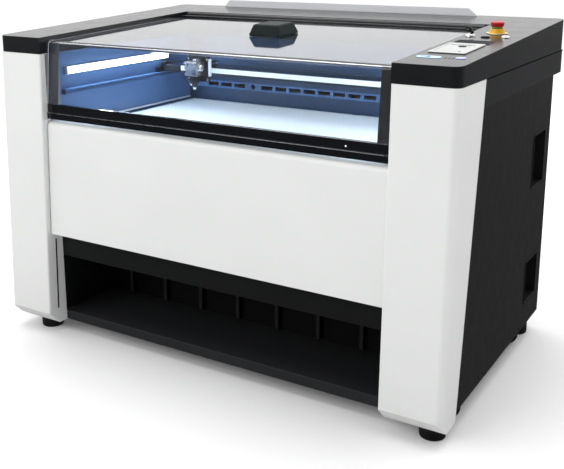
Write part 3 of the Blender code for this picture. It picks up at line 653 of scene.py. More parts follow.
def make_materials():
    """Every material of the machine, by name."""
    finished = [
        white_paint(),
        black_cap_paint(),
        powder_coat("dark_sheet", (0.0106, 0.0103, 0.0099), 0.40, grain=800, mottle=0.06, gloss=0.25),
        powder_coat("niche_sheet", (0.0085, 0.0090, 0.0095), 0.42, gloss=0.25),
        powder_coat("chamber_sheet", CHAMBER_BLUE, 0.40),
        inner_wall_paint(),
        rear_wall_paint(),
        brushed("aluminium", (0.66, 0.70, 0.75), 0.30),
        brushed("beam_face", (0.88, 0.91, 0.93), 0.36, metallic=0.15),
        brushed("beam_top", (0.045, 0.075, 0.13), 0.34),
        brushed("steel", (0.52, 0.53, 0.55), 0.28),
        acrylic("clear_acrylic", (0.95, 0.975, 1.0), 0.0),
        acrylic("frosted_acrylic", (0.96, 0.97, 1.0), 0.40, 0.25, 1.30),
        moulded("rubber", (0.007, 0.007, 0.007), 0.60, gloss=0.3),
        moulded("belt", (0.012, 0.012, 0.013), 0.55),
        moulded("liner_grey", (0.20, 0.20, 0.235), 0.50, gloss=0.3),
        # pale opaque colour along the sheet's ends: painted glint of the acrylic edges
        moulded("edge_glint_paint", (0.62, 0.66, 0.72), 0.25),
        glowing("light_diffuser", (0.86, 0.94, 1.0), 9.0),
        table_material(),
        moulded("red_plastic", (0.52, 0.010, 0.014), 0.24),
        moulded("yellow_plastic", (0.88, 0.47, 0.02), 0.30),
        moulded("pale_yellow", (0.86, 0.80, 0.50), 0.40),
        moulded("green_ring", (0.22, 0.36, 0.06), 0.35),
        brushed("chrome", (0.82, 0.82, 0.84), 0.10),
        brushed("display", (0.60, 0.61, 0.60), 0.34, (60, 2, 60), 0.5),
        moulded("screen", (0.50, 0.51, 0.50), 0.22, depth=0.00001),
        moulded("black_plastic", (0.010, 0.010, 0.011), 0.34, gloss=0.35),
        # near-black for the strips in the column slits and in the cap joint: painted shade
        moulded("painted_shade_black", (0.0015, 0.0015, 0.0015), 0.7, gloss=0.02),
        powder_coat("tray_paint", (0.024, 0.025, 0.027), 0.40, gloss=0.25),
        powder_coat("frame_grey", (0.060, 0.066, 0.078), 0.35, gloss=0.25),
        niche_back_paint(),
        moulded("window_black", (0.010, 0.011, 0.014), 0.5, gloss=0.05),
        moulded("hood_black", (0.014, 0.019, 0.020), 0.45, gloss=0.08),
        # a darker copy of the chamber blue: painted shade that dims the strip lights' glow on the Y rails
        powder_coat("rail_shaded_blue", shade(CHAMBER_BLUE, 0.75), 0.5, gloss=0.2),
        moulded("gloss_black", (0.006, 0.007, 0.009), 0.16, depth=0.00001, gloss=0.35),
        glowing("touch_blue", (0.46, 0.68, 0.92), 0.30),
        glowing("pill_lilac", (0.50, 0.52, 0.86), 0.30),
        glowing("indicator", (0.8, 0.85, 0.9), 0.3),
    ]
    return {nodes.name: nodes.material for nodes in finished}


# ---- the CAD nodes that stay

def smooth_group(limit):
    """Smooth shading with sharp edges above an angle."""
    group = bpy.data.node_groups.new("smooth_by_angle", "GeometryNodeTree")
    group.interface.new_socket("Geometry", in_out="INPUT", socket_type="NodeSocketGeometry")
    group.interface.new_socket("Geometry", in_out="OUTPUT", socket_type="NodeSocketGeometry")
    source = group.nodes.new("NodeGroupInput")
    target = group.nodes.new("NodeGroupOutput")
    faces = group.nodes.new("GeometryNodeSetShadeSmooth")
    edges = group.nodes.new("GeometryNodeSetShadeSmooth")
    edges.domain = "EDGE"
    edges.inputs["Shade Smooth"].default_value = False
    angle = group.nodes.new("GeometryNodeInputMeshEdgeAngle")
    sharp = group.nodes.new("FunctionNodeCompare")
    sharp.operation = "GREATER_THAN"
    sharp.inputs[1].default_value = limit
    group.links.new(angle.outputs["Unsigned Angle"], sharp.inputs[0])
    group.links.new(sharp.outputs[0], edges.inputs["Selection"])
    group.links.new(source.outputs[0], faces.inputs["Geometry"])
    group.links.new(faces.outputs["Geometry"], edges.inputs["Geometry"])
    group.links.new(edges.outputs["Geometry"], target.inputs[0])
    return group


THIN_EDGE = 0.0007

# Nodes with wider soft edges than the rest
EDGE_WIDTHS = {
    "left_column": 0.0020,
    "right_column": 0.0020,
    "front_door": 0.0020,
    "top_cap": 0.0024,
    "camera_hood": 0.0030,
    "rear_plate": 0.0010,
}

# Nodes whose material isn't the plain one of their slot
NODE_PAINTS = {
    "left_inner_wall": "inner_wall_paint",
    "right_inner_wall": "inner_wall_paint",
    "chamber_rear_wall": "rear_wall_paint",
    "x_beam": "beam_top",
    "camera_hood": "hood_black",
    "base_tray": "tray_paint",
    "niche_back_panel": "niche_back_paint",
    "lid_left_frame": "frame_grey",
    "left_y_rail": "rail_shaded_blue",
    "right_y_rail": "rail_shaded_blue",
}


def finish_cad_nodes():
    """Gives every CAD node its material, soft edges and smooth round faces."""
    group = smooth_group(math.radians(32))
    for row in frame["record"]["subparts"]:
        name = row["node"]
        node = NODES[name]
        node.data.materials.clear()
        node.data.materials.append(PAINTS[NODE_PAINTS.get(name, row["material_slot"])])
        weld = node.modifiers.new("weld", "WELD")
        weld.merge_threshold = 0.00001
        flatten = node.modifiers.new("one_face_per_plane", "DECIMATE")
        flatten.decimate_type = "DISSOLVE"
        flatten.angle_limit = math.radians(0.5)
        smooth = node.modifiers.new("smooth", "NODES")
        smooth.node_group = group
        bevel_edges(node, EDGE_WIDTHS.get(name, THIN_EDGE), 3 if name in EDGE_WIDTHS else 2)
        weigh_normals(node)


# ---- controls on the right arm

def build_emergency_stop():
    """Legend ring, flared yellow collar, green band and round red head."""
    base = foot_of("estop_base")
    points = []
    count = 96
    for i in range(count):
        a = 2 * math.pi * i / count
        r = 0.0225 + 0.0050 * abs(math.cos(2 * a)) ** 3
        points.append((r * math.cos(a), r * math.sin(a)))
    piece("estop_legend_ring", slab(points, 0.0012), "pale_yellow", "cabinet", base @ at(0, 0, 0.0006),
          round_off=0.0003)
    collar = [(0.0100, 0.0018), (0.0188, 0.0018), (0.0192, 0.0026), (0.0188, 0.0050), (0.0172, 0.0098),
              (0.0166, 0.0118), (0.0160, 0.0124), (0.0137, 0.0124), (0.0137, 0.0080), (0.0100, 0.0080)]
    piece("estop_collar", lathe(collar, 64, closed=True), "yellow_plastic", "cabinet", base,
          replaces=("estop_base",), round_off=0.0003)
    band = [(0.0090, 0.0128), (0.0132, 0.0128), (0.0132, 0.0172), (0.0090, 0.0172)]
    piece("estop_green_band", lathe(band, 56, closed=True), "green_ring", "estop_button", base,
          round_off=0.0002)
    stem = [(0, 0.0086), (0.0086, 0.0086), (0.0086, 0.0172), (0, 0.0172)]
    piece("estop_stem", lathe(stem, 40), "black_plastic", "estop_button", base)
    head = [(0, 0.0174), (0.0138, 0.0174), (0.0150, 0.0180), (0.0158, 0.0196), (0.0166, 0.0240),
            (0.0167, 0.0256)]
    for i in range(1, 8):
        a = math.radians(90 * i / 8)
        head.append((0.0132 + 0.0035 * math.cos(a), 0.0258 + 0.0035 * math.sin(a)))
    head += [(0.0120, 0.0296), (0.0100, 0.0291), (0.0040, 0.0296), (0, 0.0297)]
    piece("estop_head", lathe(head, 64), "red_plastic", "estop_button", base, replaces=("estop_button",))


def build_key_switch():
    """Chrome barrel with its plug, and a key whose holed bow leans to one side."""
    base = foot_of("key_switch_barrel")
    bezel = [(0.0086, 0.0006), (0.0126, 0.0006), (0.0123, 0.0026), (0.0108, 0.0050), (0.0100, 0.0060),
             (0.0086, 0.0060)]
    piece("key_bezel", lathe(bezel, 56, closed=True), "chrome", "cabinet", base,
          replaces=("key_switch_barrel",), round_off=0.0003)
    plug = [(0, 0.0012), (0.0080, 0.0012), (0.0080, 0.0052), (0.0074, 0.0058), (0, 0.0058)]
    piece("key_plug", lathe(plug, 40), "steel", "key", base)
    outer, inner = [], []
    count = 40
    for i in range(count):
        a = 2 * math.pi * i / count
        outer.append((-0.0048 + 0.0078 * math.cos(a), 0.0066 * math.sin(a)))
        inner.append((-0.0058 + 0.0032 * math.cos(a), 0.0006 + 0.0025 * math.sin(a)))
    bow = ring_plate(outer, inner, 0.0036)
    bow.transform(Matrix(((1, 0, 0, 0), (0, 0, 1, -0.0018), (0, 1, 0, 0.0170), (0, 0, 0, 1))))
    neck = block((0.0120, 0.0036, 0.0050), 0.0008, 2)
    merge(bow, neck, at(0.0036, 0, 0.0124) @ Matrix.Rotation(math.radians(34), 4, "Y"))
    merge(bow, block((0.0062, 0.0030, 0.0060), 0.0006, 2), at(0.0030, 0, 0.0080))
    piece("key_bow", bow, "gloss_black", "key", base, replaces=("key",), round_off=0.0004)


def build_start_button():
    """Chrome bezel round a dished chrome button."""
    base = foot_of("start_button_ring")
    ring = [(0.0083, 0.0006), (0.0106, 0.0006), (0.0104, 0.0024), (0.0094, 0.0034), (0.0083, 0.0030)]
    piece("start_bezel", lathe(ring, 48, closed=True), "chrome", "cabinet", base,
          replaces=("start_button_ring",), round_off=0.0002)
    cap = [(0, 0.0025), (0.0078, 0.0025), (0.0079, 0.0040), (0.0072, 0.0052), (0.0050, 0.0050), (0, 0.0046)]
    piece("start_cap", lathe(cap, 48), "chrome", "start_button", base, replaces=("start_button",),
          round_off=0.0002)


def build_display():
    """Silver plate with a recessed pale screen, a row of plain ticks and a small port."""
    base = foot_of("control_display")
    raised = base @ at(0, 0, 0.0006)
    width = high("control_display").x - low("control_display").x
    length = (high("control_display").y - low("control_display").y) / math.cos(CAP_TILT)
    opening = round_rect(width - 0.012, length - 0.029, 0.003)
    bezel = ring_plate(round_rect(width, length, 0.004), opening, 0.0022)
    piece("display_bezel", bezel, "display", "cabinet", raised,
          replaces=("control_display",), round_off=0.0006)
    pane = slab(round_rect(width - 0.0125, length - 0.0295, 0.003), 0.0015)
    piece("display_screen", pane, "screen", "cabinet", raised, round_off=0.0003)
    ticks = bmesh.new()
    for i in range(9):
        tick = block((0.0040 if i % 3 else 0.0054, 0.0048, 0.0004), 0.0001, 1)
        merge(ticks, tick, at(-0.026 + 0.0062 * i, length / 2 - 0.026, 0.0023))
    piece("display_ticks", ticks, "gloss_black", "cabinet", base)
    port = slab(round_rect(0.018, 0.014, 0.0064), 0.0010)
    piece("display_port", port, "window_black", "cabinet", base @ at(0.004, length / 2 - 0.047, 0.0021),
          round_off=0.0003)
    dot = [(0, 0), (0.0024, 0), (0.0022, 0.0007), (0, 0.0008)]
    piece("display_dot", lathe(dot, 20), "gloss_black", "cabinet",
          base @ at(0.022, 0.022 - length / 2, 0.0021))


def build_arm_trims():
    """Dark window, oval sensor, touch strip and small keys on the right arm."""
    arm_x = middle("control_display").x + 0.002
    window = on_cap(arm_x, high("control_display").y + 0.034, TRIM_LIFT)
    rim = ring_plate(round_rect(0.088, 0.050, 0.004), round_rect(0.082, 0.044, 0.003), 0.0010)
    piece("window_rim", rim, "black_plastic", "cabinet", window, round_off=0.0003)
    piece("window_pane", slab(round_rect(0.0825, 0.0445, 0.003), 0.0005), "window_black", "cabinet", window)
    oval = lathe([(0, 0.0003), (0.0115, 0.0003), (0.0112, 0.0018), (0.0085, 0.0030), (0, 0.0034)], 48)
    oval.transform(Matrix.Diagonal((1.0, 0.62, 1.0, 1.0)))
    piece("oval_sensor", oval, "window_black", "cabinet", on_cap(arm_x, low("key_switch_barrel").y + 0.004),
          round_off=0.0003)
    strip_y = FRONT_Y + 0.091
    strip = slab(round_rect(0.054, 0.024, 0.0100), 0.0009)
    piece("touch_strip", strip, "touch_blue", "cabinet", on_cap(0.546, strip_y, TRIM_LIFT), round_off=0.0003)
    mark = slab(round_rect(0.0090, 0.0110, 0.0044), 0.0004)
    merge(mark, block((0.016, 0.0045, 0.0004), 0.0001, 1), at(-0.009, 0, 0.0002))
    piece("touch_mark", mark, "gloss_black", "cabinet", on_cap(0.545, strip_y, 0.00125))
    dots = bmesh.new()
    for i in range(3):
        for j in (-1, 1):
            dot = lathe([(0, 0), (0.0018, 0), (0.0015, 0.0005), (0, 0.0006)], 16)
            merge(dots, dot, at(0.0085 * i, 0.0045 * j, 0))
    piece("arm_dots", dots, "gloss_black", "cabinet", on_cap(0.582, strip_y, TRIM_LIFT))
    pill = slab(round_rect(0.022, 0.0160, 0.0070), 0.0010)
    place = on_cap(0.6136, strip_y + 0.0065, TRIM_LIFT) @ Matrix.Rotation(math.radians(14), 4, "Z")
    piece("pill_key", pill, "pill_lilac", "cabinet", place, round_off=0.0004)


# ---- lid

def lid_sheet_path(inset, radius=0.012, steps=12):
    """Side view of the bent sheet, (y, z) from its lower front edge to its rear edge."""
    lower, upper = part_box("lid_window")
    bend_y = FRONT_Y + 0.032
    corner = Vector((bend_y, cap_top(bend_y) - LID_DROP))
    start = Vector((lower.y, lower.z))
    end = Vector((upper.y, cap_top(upper.y) - LID_DROP))
    down = (start - corner).normalized()
    back = (end - corner).normalized()
    half_turn = down.angle(back) / 2
    centre = corner + (down + back).normalized() * (radius / math.sin(half_turn))
    first = corner + down * (radius / math.tan(half_turn)) - centre
    sweep = math.pi - 2 * half_turn
    points = [start + Vector((inset, 0))]
    arc = []
    for i in range(steps + 1):
        a = -sweep * i / steps
        turned = Matrix.Rotation(a, 2) @ first
        arc.append(centre + turned * (radius - inset) / radius)
    points.append(arc[0] + down * 0.0015)
    points += arc
    points.append(arc[-1] + back * 0.0015)
    points.append(end + Vector((back.y, -back.x)) * inset)
    return points


def build_lid_sheet():
    """One clear sheet, bent over at the front."""
    half = high("lid_window").x
    outer = lid_sheet_path(0.0)
    inner = lid_sheet_path(LID_SHEET)
    bm = bmesh.new()
    rows = []
    for y, z in outer + inner[::-1]:
        rows.append([bm.verts.new((side * half, y, z)) for side in (-1, 1)])
    count = len(rows)
    for i in range(count):
        j = (i + 1) % count
        bm.faces.new([rows[i][0], rows[i][1], rows[j][1], rows[j][0]])
    for i in range(len(outer) - 1):
        opposite = count - 1 - i
        for end in (0, 1):
            bm.faces.new([rows[k][end] for k in (i, i + 1, opposite - 1, opposite)])
    piece("lid_sheet", bm, "clear_acrylic", "lid", replaces=("lid_window",), smooth=20)


def build_sheet_edges():
    """Pale strips up the two ends of the sheet's front, and a little way past the bend: a painted glint of
    the sheet's polished edges.
    """
    half = high("lid_window").x
    width = 0.0020
    past = 0.012
    ends = []
    for path in (lid_sheet_path(-0.0004), lid_sheet_path(0.0002)):
        way = (Vector(path[-1]) - Vector(path[-2])).normalized()
        ends.append(path[:-1] + [Vector(path[-2]) + way * past])
    outline = ends[0] + ends[1][::-1]
    bm = bmesh.new()
    for x in (-half, half - width):
        merge(bm, slab(outline, width), from_side(x))
    piece("lid_sheet_edge_glints", bm, "edge_glint_paint", "lid")


def build_lid_trims():
    """Front rail with a thin pull lip, a steel strip along the lip as a painted highlight line, an indicator
    dot, and the screws of the hinge bar.
    """
    lower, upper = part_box("lid_rail")
    half = upper.x
    front = lower.y
    lip_z = lower.z + 0.0165
    outline = [(front + 0.0005, lower.z), (front + 0.0100, lower.z), (front + 0.0100, lower.z + 0.0090),
               (upper.y, lower.z + 0.0090), (upper.y, upper.z), (front + 0.0042, upper.z),
               (front + 0.0032, lip_z + 0.0012), (front + 0.0004, lip_z), (front + 0.0000, lip_z - 0.0030)]
    bm = slab(outline, 2 * half)
    bm.transform(from_side(-half))
    piece("lid_front_rail", bm, "gloss_black", "lid", replaces=("lid_rail",), round_off=0.0008, segments=3)
    short = half - 0.014
    # the steel strip stands for the bright line of the glass's lower edge: painted highlight
    line = span((-half, front - 0.0004, lip_z - 0.0002), (short, front + 0.0006, lip_z + 0.0006), 0.0002, 1)
    piece("lid_lip_highlight_strip", line, "steel", "lid")
    dot = [(0, 0.0002), (0.0020, 0.0002), (0.0018, 0.0008), (0, 0.0010)]
    place = at(0.3930, front + 0.0038, upper.z - 0.0135) @ facing((0, -1, 0))
    piece("lid_indicator", lathe(dot, 24), "indicator", "lid", place)
    count = 11
    reach = high("lid_hinge_bar").x - 0.03
    y = low("lid_hinge_bar").y + 0.014
    z = cap_top(y) - LID_DROP + 0.0048
    places = [(-reach + 2 * reach * i / (count - 1), y, z) for i in range(count)]
    up = (0, -math.sin(CAP_TILT), math.cos(CAP_TILT))
    screws("hinge_bar_screws", places, up, 0.0032, "gloss_black", "lid")


def build_column_liners():
    """Grey liners on the column faces beside the lid."""
    ys = (low("lid_window").y + 0.001, low("left_inner_wall").y - 0.0005)
    liners = both_sides((MOUTH_X - 0.0011, MOUTH_X - 0.0002), ys, (0.6190, 0.7925))
    piece("column_liners", liners, "liner_grey", "cabinet")


def build_slit_shade_strips():
    """Near-black strips in the slits of the inner column faces, leaning with the columns: painted shade for
    the dark inside of each slit.
    """
    top = high("left_column").z
    rate = (FRONT_Y - low("left_column").y) / (top - PLINTH_Z)
    ys = (FRONT_Y + 0.0310, FRONT_Y + 0.0360)
    # the strips stand for the shade inside the slits: painted shade
    dark_slit_strips = both_sides((MOUTH_X - 0.0008, MOUTH_X - 0.00005), ys, (0.0770, 0.2810))
    for vertex in dark_slit_strips.verts:
        vertex.co.y -= rate * (top - vertex.co.z)
    piece("slit_shade_strips", dark_slit_strips, "painted_shade_black", "cabinet")


def build_camera_dot():
    """A small pale lens on the hood's sloping front, given the faint glow of the indicator material as a
    painted highlight.
    """
    lower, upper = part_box("camera_hood")
    slant = math.atan2(0.0116, 0.033)
    lens = [(0, 0), (0.0022, 0), (0.0020, 0.0008), (0, 0.0010)]
    place = at(lower.x + 0.42 * (upper.x - lower.x), lower.y + 0.0045, lower.z + 0.30 * (upper.z - lower.z))
    # the lens gives no light; its glow is a painted highlight
    piece("hood_lens", lathe(lens, 20), "indicator", "lid",
          place @ facing((0, -math.cos(slant), math.sin(slant))))


# ---- work chamber

def build_gantry_details():
    """Bright rail along the top of the beam, the drive belt under it, and dark end brackets."""
    lower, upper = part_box("x_beam")
    front = middle("x_beam").y - 0.015
    left = -0.422
    right = upper.x - 0.014
    z = lower.z
    rail = span((left, front - 0.0030, z + 0.0072), (right, front - 0.0002, z + 0.0216), 0.0008)
    merge(rail, span((left, front - 0.0036, z + 0.0186), (right, front - 0.0028, z + 0.0210), 0.0003, 1))
    piece("beam_rail", rail, "beam_face", "gantry")
    belt = span((left, front - 0.0018, z + 0.0012), (right, front - 0.0004, z + 0.0062))
    teeth = 200
    pitch = (right - left) / teeth
    for i in range(teeth):
        tooth = block((pitch * 0.5, 0.0008, 0.0050))
        merge(belt, tooth, at(left + pitch * (i + 0.5), front - 0.0021, z + 0.0037))
    piece("drive_belt", belt, "belt", "gantry")
    ends = block((0.070, 0.0032, 0.0210), 0.0012)
    ends.transform(at(left - 0.0355, front - 0.0018, z + 0.0110))
    for side in SIDES.values():
        place = at(side * (upper.x - 0.012), front + 0.015, z + 0.0265)
        merge(ends, block((0.011, 0.046, 0.008), 0.002), place)
    piece("beam_ends", ends, "gloss_black", "gantry", round_off=0.0003)


def build_carriage():
    """Back plate, mirror block with its beam ports and knobs, side bracket and screws."""
    lower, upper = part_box("carriage")
    x = middle("carriage").x
    front, bottom, top = lower.y, lower.z, upper.z
    plate_y = front + 0.0385
    plate_back = plate_y + 0.0076
    tab_y, tab_back = plate_y - 0.004, plate_y + 0.001
    body = span((x - 0.040, plate_y, bottom), (x + 0.040, plate_back, top), 0.0025)
    merge(body, span((x - 0.036, plate_y + 0.006, top - 0.0205), (x + 0.036, upper.y, top - 0.0160), 0.0012))
    merge(body, span((x - 0.030, tab_y, top - 0.016), (x - 0.004, tab_back, top - 0.004), 0.001))
    piece("carriage_plate", body, "gloss_black", "carriage", replaces=("carriage",), round_off=0.0003)
    mirror = span((x - 0.023, front, bottom + 0.020), (x + 0.023, plate_y + 0.002, top - 0.012), 0.003)
    lug = span((x + 0.006, front + 0.004, top - 0.0125), (x + 0.020, front + 0.028, top - 0.004), 0.0015)
    merge(mirror, lug)
    piece("mirror_block", mirror, "steel", "carriage", round_off=0.0002)
    bracket = span((x + 0.0405, tab_y, bottom + 0.018), (x + 0.0455, plate_back, top - 0.006), 0.001)
    piece("side_bracket", bracket, "beam_face", "carriage")
    z = (bottom + top) / 2 + 0.006
    port = [(0.0062, 0), (0.0102, 0), (0.0102, 0.006), (0.0090, 0.0085), (0.0062, 0.0085)]
    ports = bmesh.new()
    for side in (-1, 1):
        place = at(x + side * 0.0215, front + 0.019, z) @ facing((side, 0, 0))
        merge(ports, lathe(port, 32, closed=True), place)
    piece("beam_ports", ports, "chrome", "carriage", round_off=0.0003)
    knob = [(0, 0), (0.0022, 0), (0.0022, 0.003), (0.0042, 0.0034), (0.0044, 0.0078), (0.0036, 0.0086),
            (0, 0.0086)]
    knobs = bmesh.new()
    for dx, dz in ((-0.014, 0.012), (0.014, 0.012), (-0.014, -0.010)):
        merge(knobs, lathe(knob, 24), at(x + dx, front + 0.0006, z + dz) @ facing((0, -1, 0)))
    piece("mirror_knobs", knobs, "chrome", "carriage", round_off=0.0002)
    corners = [(x + dx, plate_y, z) for dx in (-0.034, 0.034) for z in (bottom + 0.008, top - 0.008)]
    screws("carriage_screws", corners, (0, -1, 0), 0.0034, "steel", "carriage")


def build_nozzle():
    """Lens tube with its bright tip, and the thin air tube that loops up beside it."""
    centre = middle("focus_nozzle")
    z0, top = low("focus_nozzle").z, high("focus_nozzle").z
    profile = [(0.0012, z0), (0.0034, z0), (0.0040, z0 + 0.0015), (0.0088, z0 + 0.0160),
               (0.0100, z0 + 0.0165), (0.0100, z0 + 0.0190), (0.0126, z0 + 0.0205), (0.0130, z0 + 0.0220),
               (0.0130, z0 + 0.0250), (0.0122, z0 + 0.0258), (0.0122, z0 + 0.0275), (0.0130, z0 + 0.0283),
               (0.0130, top), (0.0012, top)]
    place = at(centre.x, centre.y, 0)
    piece("lens_tube", lathe(profile, 48, closed=True), "gloss_black", "carriage", place,
          replaces=("focus_nozzle",), round_off=0.0002)
    tip = [(0.0034, z0 + 0.0001), (0.0042, z0 + 0.0001), (0.0064, z0 + 0.0070), (0.0056, z0 + 0.0070)]
    piece("nozzle_tip", lathe(tip, 40, closed=True), "chrome", "carriage", place)
    start = Vector((centre.x - 0.011, centre.y, z0 + 0.012))
    fitting = lathe([(0, 0), (0.0030, 0), (0.0030, 0.006), (0.0022, 0.0062), (0.0022, 0.009), (0, 0.009)], 20)
    piece("air_fitting", fitting, "chrome", "carriage",
          at(start.x + 0.003, start.y, start.z) @ facing((-1, 0, 0.2)))
    points = []
    count = 15
    for i in range(count):
        t = i / (count - 1)
        bulge = 0.016 * math.sin(math.pi * t * 0.9)
        points.append(start + Vector((-0.005 - bulge, 0.004 * t, 0.001 + 0.052 * t)))
    piece("air_tube", tube_along(points, 0.0019, 14), "clear_acrylic", "carriage")


def build_light_bars():
    """Aluminium channels with end caps, and the lit diffusers in them."""
    for name, side in SIDES.items():
        lower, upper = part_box(f"{name}_light_bar")
        wall = max(abs(lower.x), abs(upper.x))
        inner = min(abs(lower.x), abs(upper.x))
        cap = 0.006
        bm = side_span(side, (wall - 0.004, wall), (lower.y, upper.y), (lower.z, upper.z), 0.001, 2)
        for y in (lower.y, upper.y - cap):
            zs = (lower.z + 0.001, upper.z - 0.001)
            merge(bm, side_span(side, (inner, wall - 0.0035), (y, y + cap), zs, 0.0015, 2))
        piece(f"{name}_bar_channel", bm, "aluminium", "cabinet")
        ys = (lower.y + 0.0062, upper.y - 0.0062)
        zs = (lower.z + 0.0022, upper.z - 0.0022)
        bm = side_span(side, (inner + 0.0008, wall - 0.0038), ys, zs, 0.0035, 4)
        piece(f"{name}_bar_diffuser", bm, "light_diffuser", "cabinet", replaces=(f"{name}_light_bar",))


def build_table_details():
    """Bright rim round the table, and light ledges on the chamber walls beside it."""
    lower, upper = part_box("bed_table")
    ys = (lower.y + 0.002, upper.y)
    zs = (TABLE_Z + 0.0045, TABLE_Z + 0.0075)
    ledges = both_sides((MOUTH_X - 0.0120, MOUTH_X - 0.0004), ys, zs, 0.0006, 2)
    piece("wall_ledges", ledges, "beam_face", "cabinet")
    width, depth, rim_width = 2 * upper.x, upper.y - lower.y, 0.006
    inner = round_rect(width - 2 * rim_width, depth - 2 * rim_width, 0.002)
    rim = ring_plate(round_rect(width, depth, 0.003), inner, 0.0006)
    place = at(0, (lower.y + upper.y) / 2, TABLE_Z + 0.0001)
    piece("table_rim", rim, "aluminium", "bed", place, round_off=0.0002)


def build_lead_screws():
    """Threads on the two table screws, each with a wider plain collar at its foot."""
    for name in SIDES:
        node = f"bed_screw_{name}"
        lower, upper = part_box(node)
        centre = middle(node)
        start = lower.z + 0.012
        profile = [(0, upper.z), (0.0048, upper.z)]
        pitch = 0.0025
        z = upper.z - 0.001
        while z - pitch > start:
            profile += [(0.0059, z - 0.0003), (0.0059, z - 0.0010), (0.0050, z - 0.0014)]
            profile.append((0.0050, z - pitch + 0.0002))
            z -= pitch
        profile += [(0.0059, start), (0.0099, start), (0.0099, lower.z), (0, lower.z)]
        piece(f"threaded_screw_{name}", lathe(profile, 24), "steel", f"screw_{name}",
              at(centre.x, centre.y, 0), replaces=(node,))


# ---- feet, casters and outside hardware

def build_feet():
    """Round rubber feet on threaded stems."""
    for end in ENDS:
        for name in SIDES:
            node = f"levelling_foot_{end}_{name}"
            lower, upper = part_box(node)
            centre = middle(node)
            profile = [(0, upper.z), (0.0066, upper.z)]
            z = upper.z - 0.002
            while z > 0.036:
                profile += [(0.0070, z), (0.0063, z - 0.0008)]
                z -= 0.0016
            profile += [(0.0066, 0.0318), (0.0285, 0.0318), (0.0304, 0.0300), (0.0307, 0.0270),
                        (0.0296, 0.0255), (0.0296, 0.0240), (0.0307, 0.0225), (0.0307, 0.0060),
                        (0.0298, 0.0016), (0.0280, 0.0), (0, 0.0)]
            piece(f"foot_{end}_{name}", lathe(profile, 64), "rubber", "cabinet",
                  at(centre.x, centre.y, 0), replaces=(node,))


def build_wheels():
    """Rubber tyres on dished steel hubs."""
    tyre = [(0.0175, -0.0072), (0.0236, -0.0078), (0.0248, -0.0060), (0.0250, 0.0), (0.0248, 0.0060),
            (0.0236, 0.0078), (0.0175, 0.0072)]
    hub = [(0.0034, -0.0080), (0.0078, -0.0080), (0.0080, -0.0052), (0.0160, -0.0046), (0.0174, -0.0070),
           (0.0174, 0.0070), (0.0160, 0.0046), (0.0080, 0.0052), (0.0078, 0.0080), (0.0034, 0.0080)]
    for end in ENDS:
        for name in SIDES:
            tag = f"{end}_{name}"
            place = Matrix.Translation(middle(f"caster_wheel_{tag}")) @ facing((0, 1, 0))
            piece(f"tyre_{tag}", lathe(tyre, 56, closed=True), "rubber", f"wheel_{tag}", place,
                  replaces=(f"caster_wheel_{tag}",), round_off=0.0003)
            piece(f"hub_{tag}", lathe(hub, 48, closed=True), "steel", f"wheel_{tag}", place, round_off=0.0003)


def build_niche_cheeks():
    """Dark cheeks that close the front of the storage niche against the columns."""
    ys = (low("niche_fascia").y, low("left_inner_wall").y - 0.0005)
    cheeks = both_sides((MOUTH_X - 0.0013, MOUTH_X - 0.0002), ys, (0.0612, 0.2990))
    piece("niche_cheeks", cheeks, "niche_sheet", "cabinet")


def build_band_joint_shade():
    """Near-black strip in the joint between the cap and the bands under it: painted shade for the shadow line
    in the gap.
    """
    z = low("top_cap").z
    ys = (low("left_band").y, 0.4200)
    # painted shade: a dark strip where the joint's narrow gap holds shadow
    joint_strips = both_sides((CAP_X - 0.0020, CAP_X + 0.0003), ys, (z - 0.0024, z + 0.0004))
    piece("band_joint_shade", joint_strips, "painted_shade_black", "cabinet")


def build_pocket_rims():
    """Thin rubber rims round the grab pockets in the side panels."""
    y0, y1 = FRONT_Y + 0.598, FRONT_Y + 0.702
    for name, side in SIDES.items():
        bm = bmesh.new()
        for z0, z1 in ((0.451, 0.5915), (0.127, 0.243)):
            outer = round_rect(y1 - y0 + 0.006, z1 - z0 + 0.006, 0.003)
            inner = round_rect(y1 - y0 - 0.002, z1 - z0 - 0.002, 0.002)
            turn = Matrix(((0, 0, side, 0), (1, 0, 0, 0), (0, 1, 0, 0), (0, 0, 0, 1)))
            place = at(side * (SIDE_X + TRIM_LIFT), (y0 + y1) / 2, (z0 + z1) / 2)
            merge(bm, ring_plate(outer, inner, 0.0016), place @ turn)
        piece(f"{name}_pocket_rims", bm, "rubber", "cabinet", round_off=0.0004)


def build_panel_screws():
    """Screws round the edge of the rear panel and along the foot of each side panel."""
    reach = high("rear_panel").x - 0.018
    rows = (low("rear_panel").z + 0.014, high("rear_panel").z - 0.014)
    rear = [(-reach + 2 * reach * i / 4, CABINET_REAR_Y, z) for i in range(5) for z in rows]
    rear += [(x, CABINET_REAR_Y, z) for z in (0.22, 0.39, 0.56) for x in (-reach, reach)]
    screws("rear_panel_screws", rear, (0, 1, 0), 0.0042, "steel", "cabinet")
    for name, side in SIDES.items():
        z = low(f"{name}_side_panel").z + 0.012
        places = [(side * SIDE_X, FRONT_Y + 0.24 + 0.165 * i, z) for i in range(4)]
        screws(f"{name}_side_screws", places, (side, 0, 0), 0.0034, "black_plastic", "cabinet")


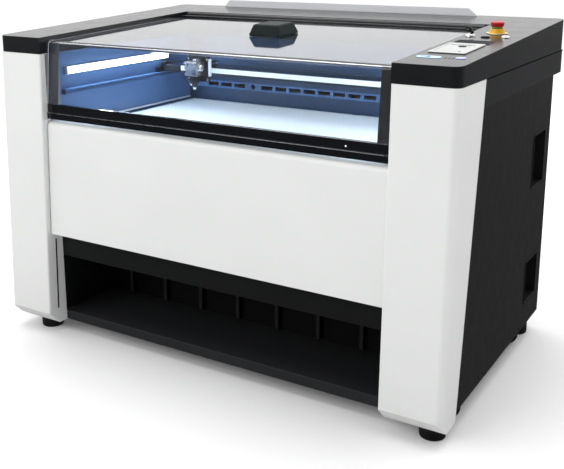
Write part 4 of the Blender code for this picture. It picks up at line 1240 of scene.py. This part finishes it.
def build_exhaust():
    """Flanged spigot with a bead at its mouth, its four screws and a ring guard."""
    lower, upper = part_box("exhaust_port")
    centre = middle("exhaust_port")
    depth = upper.y - lower.y
    profile = [(0.0483, 0.0), (0.0640, 0.0), (0.0640, 0.0028), (0.0630, 0.0036), (0.0524, 0.0040),
               (0.0512, 0.0052), (0.0512, depth - 0.0070), (0.0524, depth - 0.0055),
               (0.0524, depth - 0.0030), (0.0510, depth), (0.0483, depth)]
    piece("exhaust_spigot", lathe(profile, 72, closed=True), "black_plastic", "cabinet",
          at(centre.x, lower.y, centre.z) @ facing((0, 1, 0)), replaces=("exhaust_port",), round_off=0.0003)
    bolts = []
    bolt_circle = 0.058
    for i in range(4):
        a = math.radians(45 + 90 * i)
        x, z = centre.x + bolt_circle * math.cos(a), centre.z + bolt_circle * math.sin(a)
        bolts.append((x, lower.y + 0.0038, z))
    screws("exhaust_screws", bolts, (0, 1, 0), 0.0030, "steel", "cabinet")
    guard = bmesh.new()
    wire = 0.0009
    for r in (0.014, 0.026, 0.038):
        ring = [(r - wire, -wire), (r + wire, -wire), (r + wire, wire), (r - wire, wire)]
        merge(guard, lathe(ring, 56, closed=True))
    for i in range(3):
        bar = block((0.0955, 0.0018, 0.0016), 0.0003, 1)
        merge(guard, bar, Matrix.Rotation(math.radians(60 * i), 4, "Z"))
    piece("exhaust_guard", guard, "steel", "cabinet",
          at(centre.x, lower.y + 0.004, centre.z) @ facing((0, 1, 0)))


def build_inlet_pins():
    """Three pins in the power inlet, and the screws in its ears."""
    lower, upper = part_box("power_inlet")
    centre = middle("power_inlet")
    bm = bmesh.new()
    for dx, dz in ((-0.007, -0.0025), (0, 0.0030), (0.007, -0.0025)):
        pin = block((0.0020, 0.0120, 0.0040), 0.0004, 2)
        merge(bm, pin, at(centre.x + dx, lower.y + 0.0105, centre.z + dz))
    piece("inlet_pins", bm, "chrome", "cabinet")
    ears = [(centre.x + dx, upper.y, centre.z) for dx in (-0.0225, 0.0225)]
    screws("inlet_screws", ears, (0, 1, 0), 0.0026, "steel", "cabinet")


def build_machine():
    finish_cad_nodes()
    build_emergency_stop()
    build_key_switch()
    build_start_button()
    build_display()
    build_arm_trims()
    build_lid_sheet()
    build_sheet_edges()
    build_lid_trims()
    build_column_liners()
    build_slit_shade_strips()
    build_camera_dot()
    build_gantry_details()
    build_carriage()
    build_nozzle()
    build_light_bars()
    build_table_details()
    build_lead_screws()
    build_feet()
    build_wheels()
    build_niche_cheeks()
    build_band_joint_shade()
    build_pocket_rims()
    build_panel_screws()
    build_exhaust()
    build_inlet_pins()


build_camera()
build_world()
build_stage()
build_lights()
PAINTS = make_materials()
build_machine()
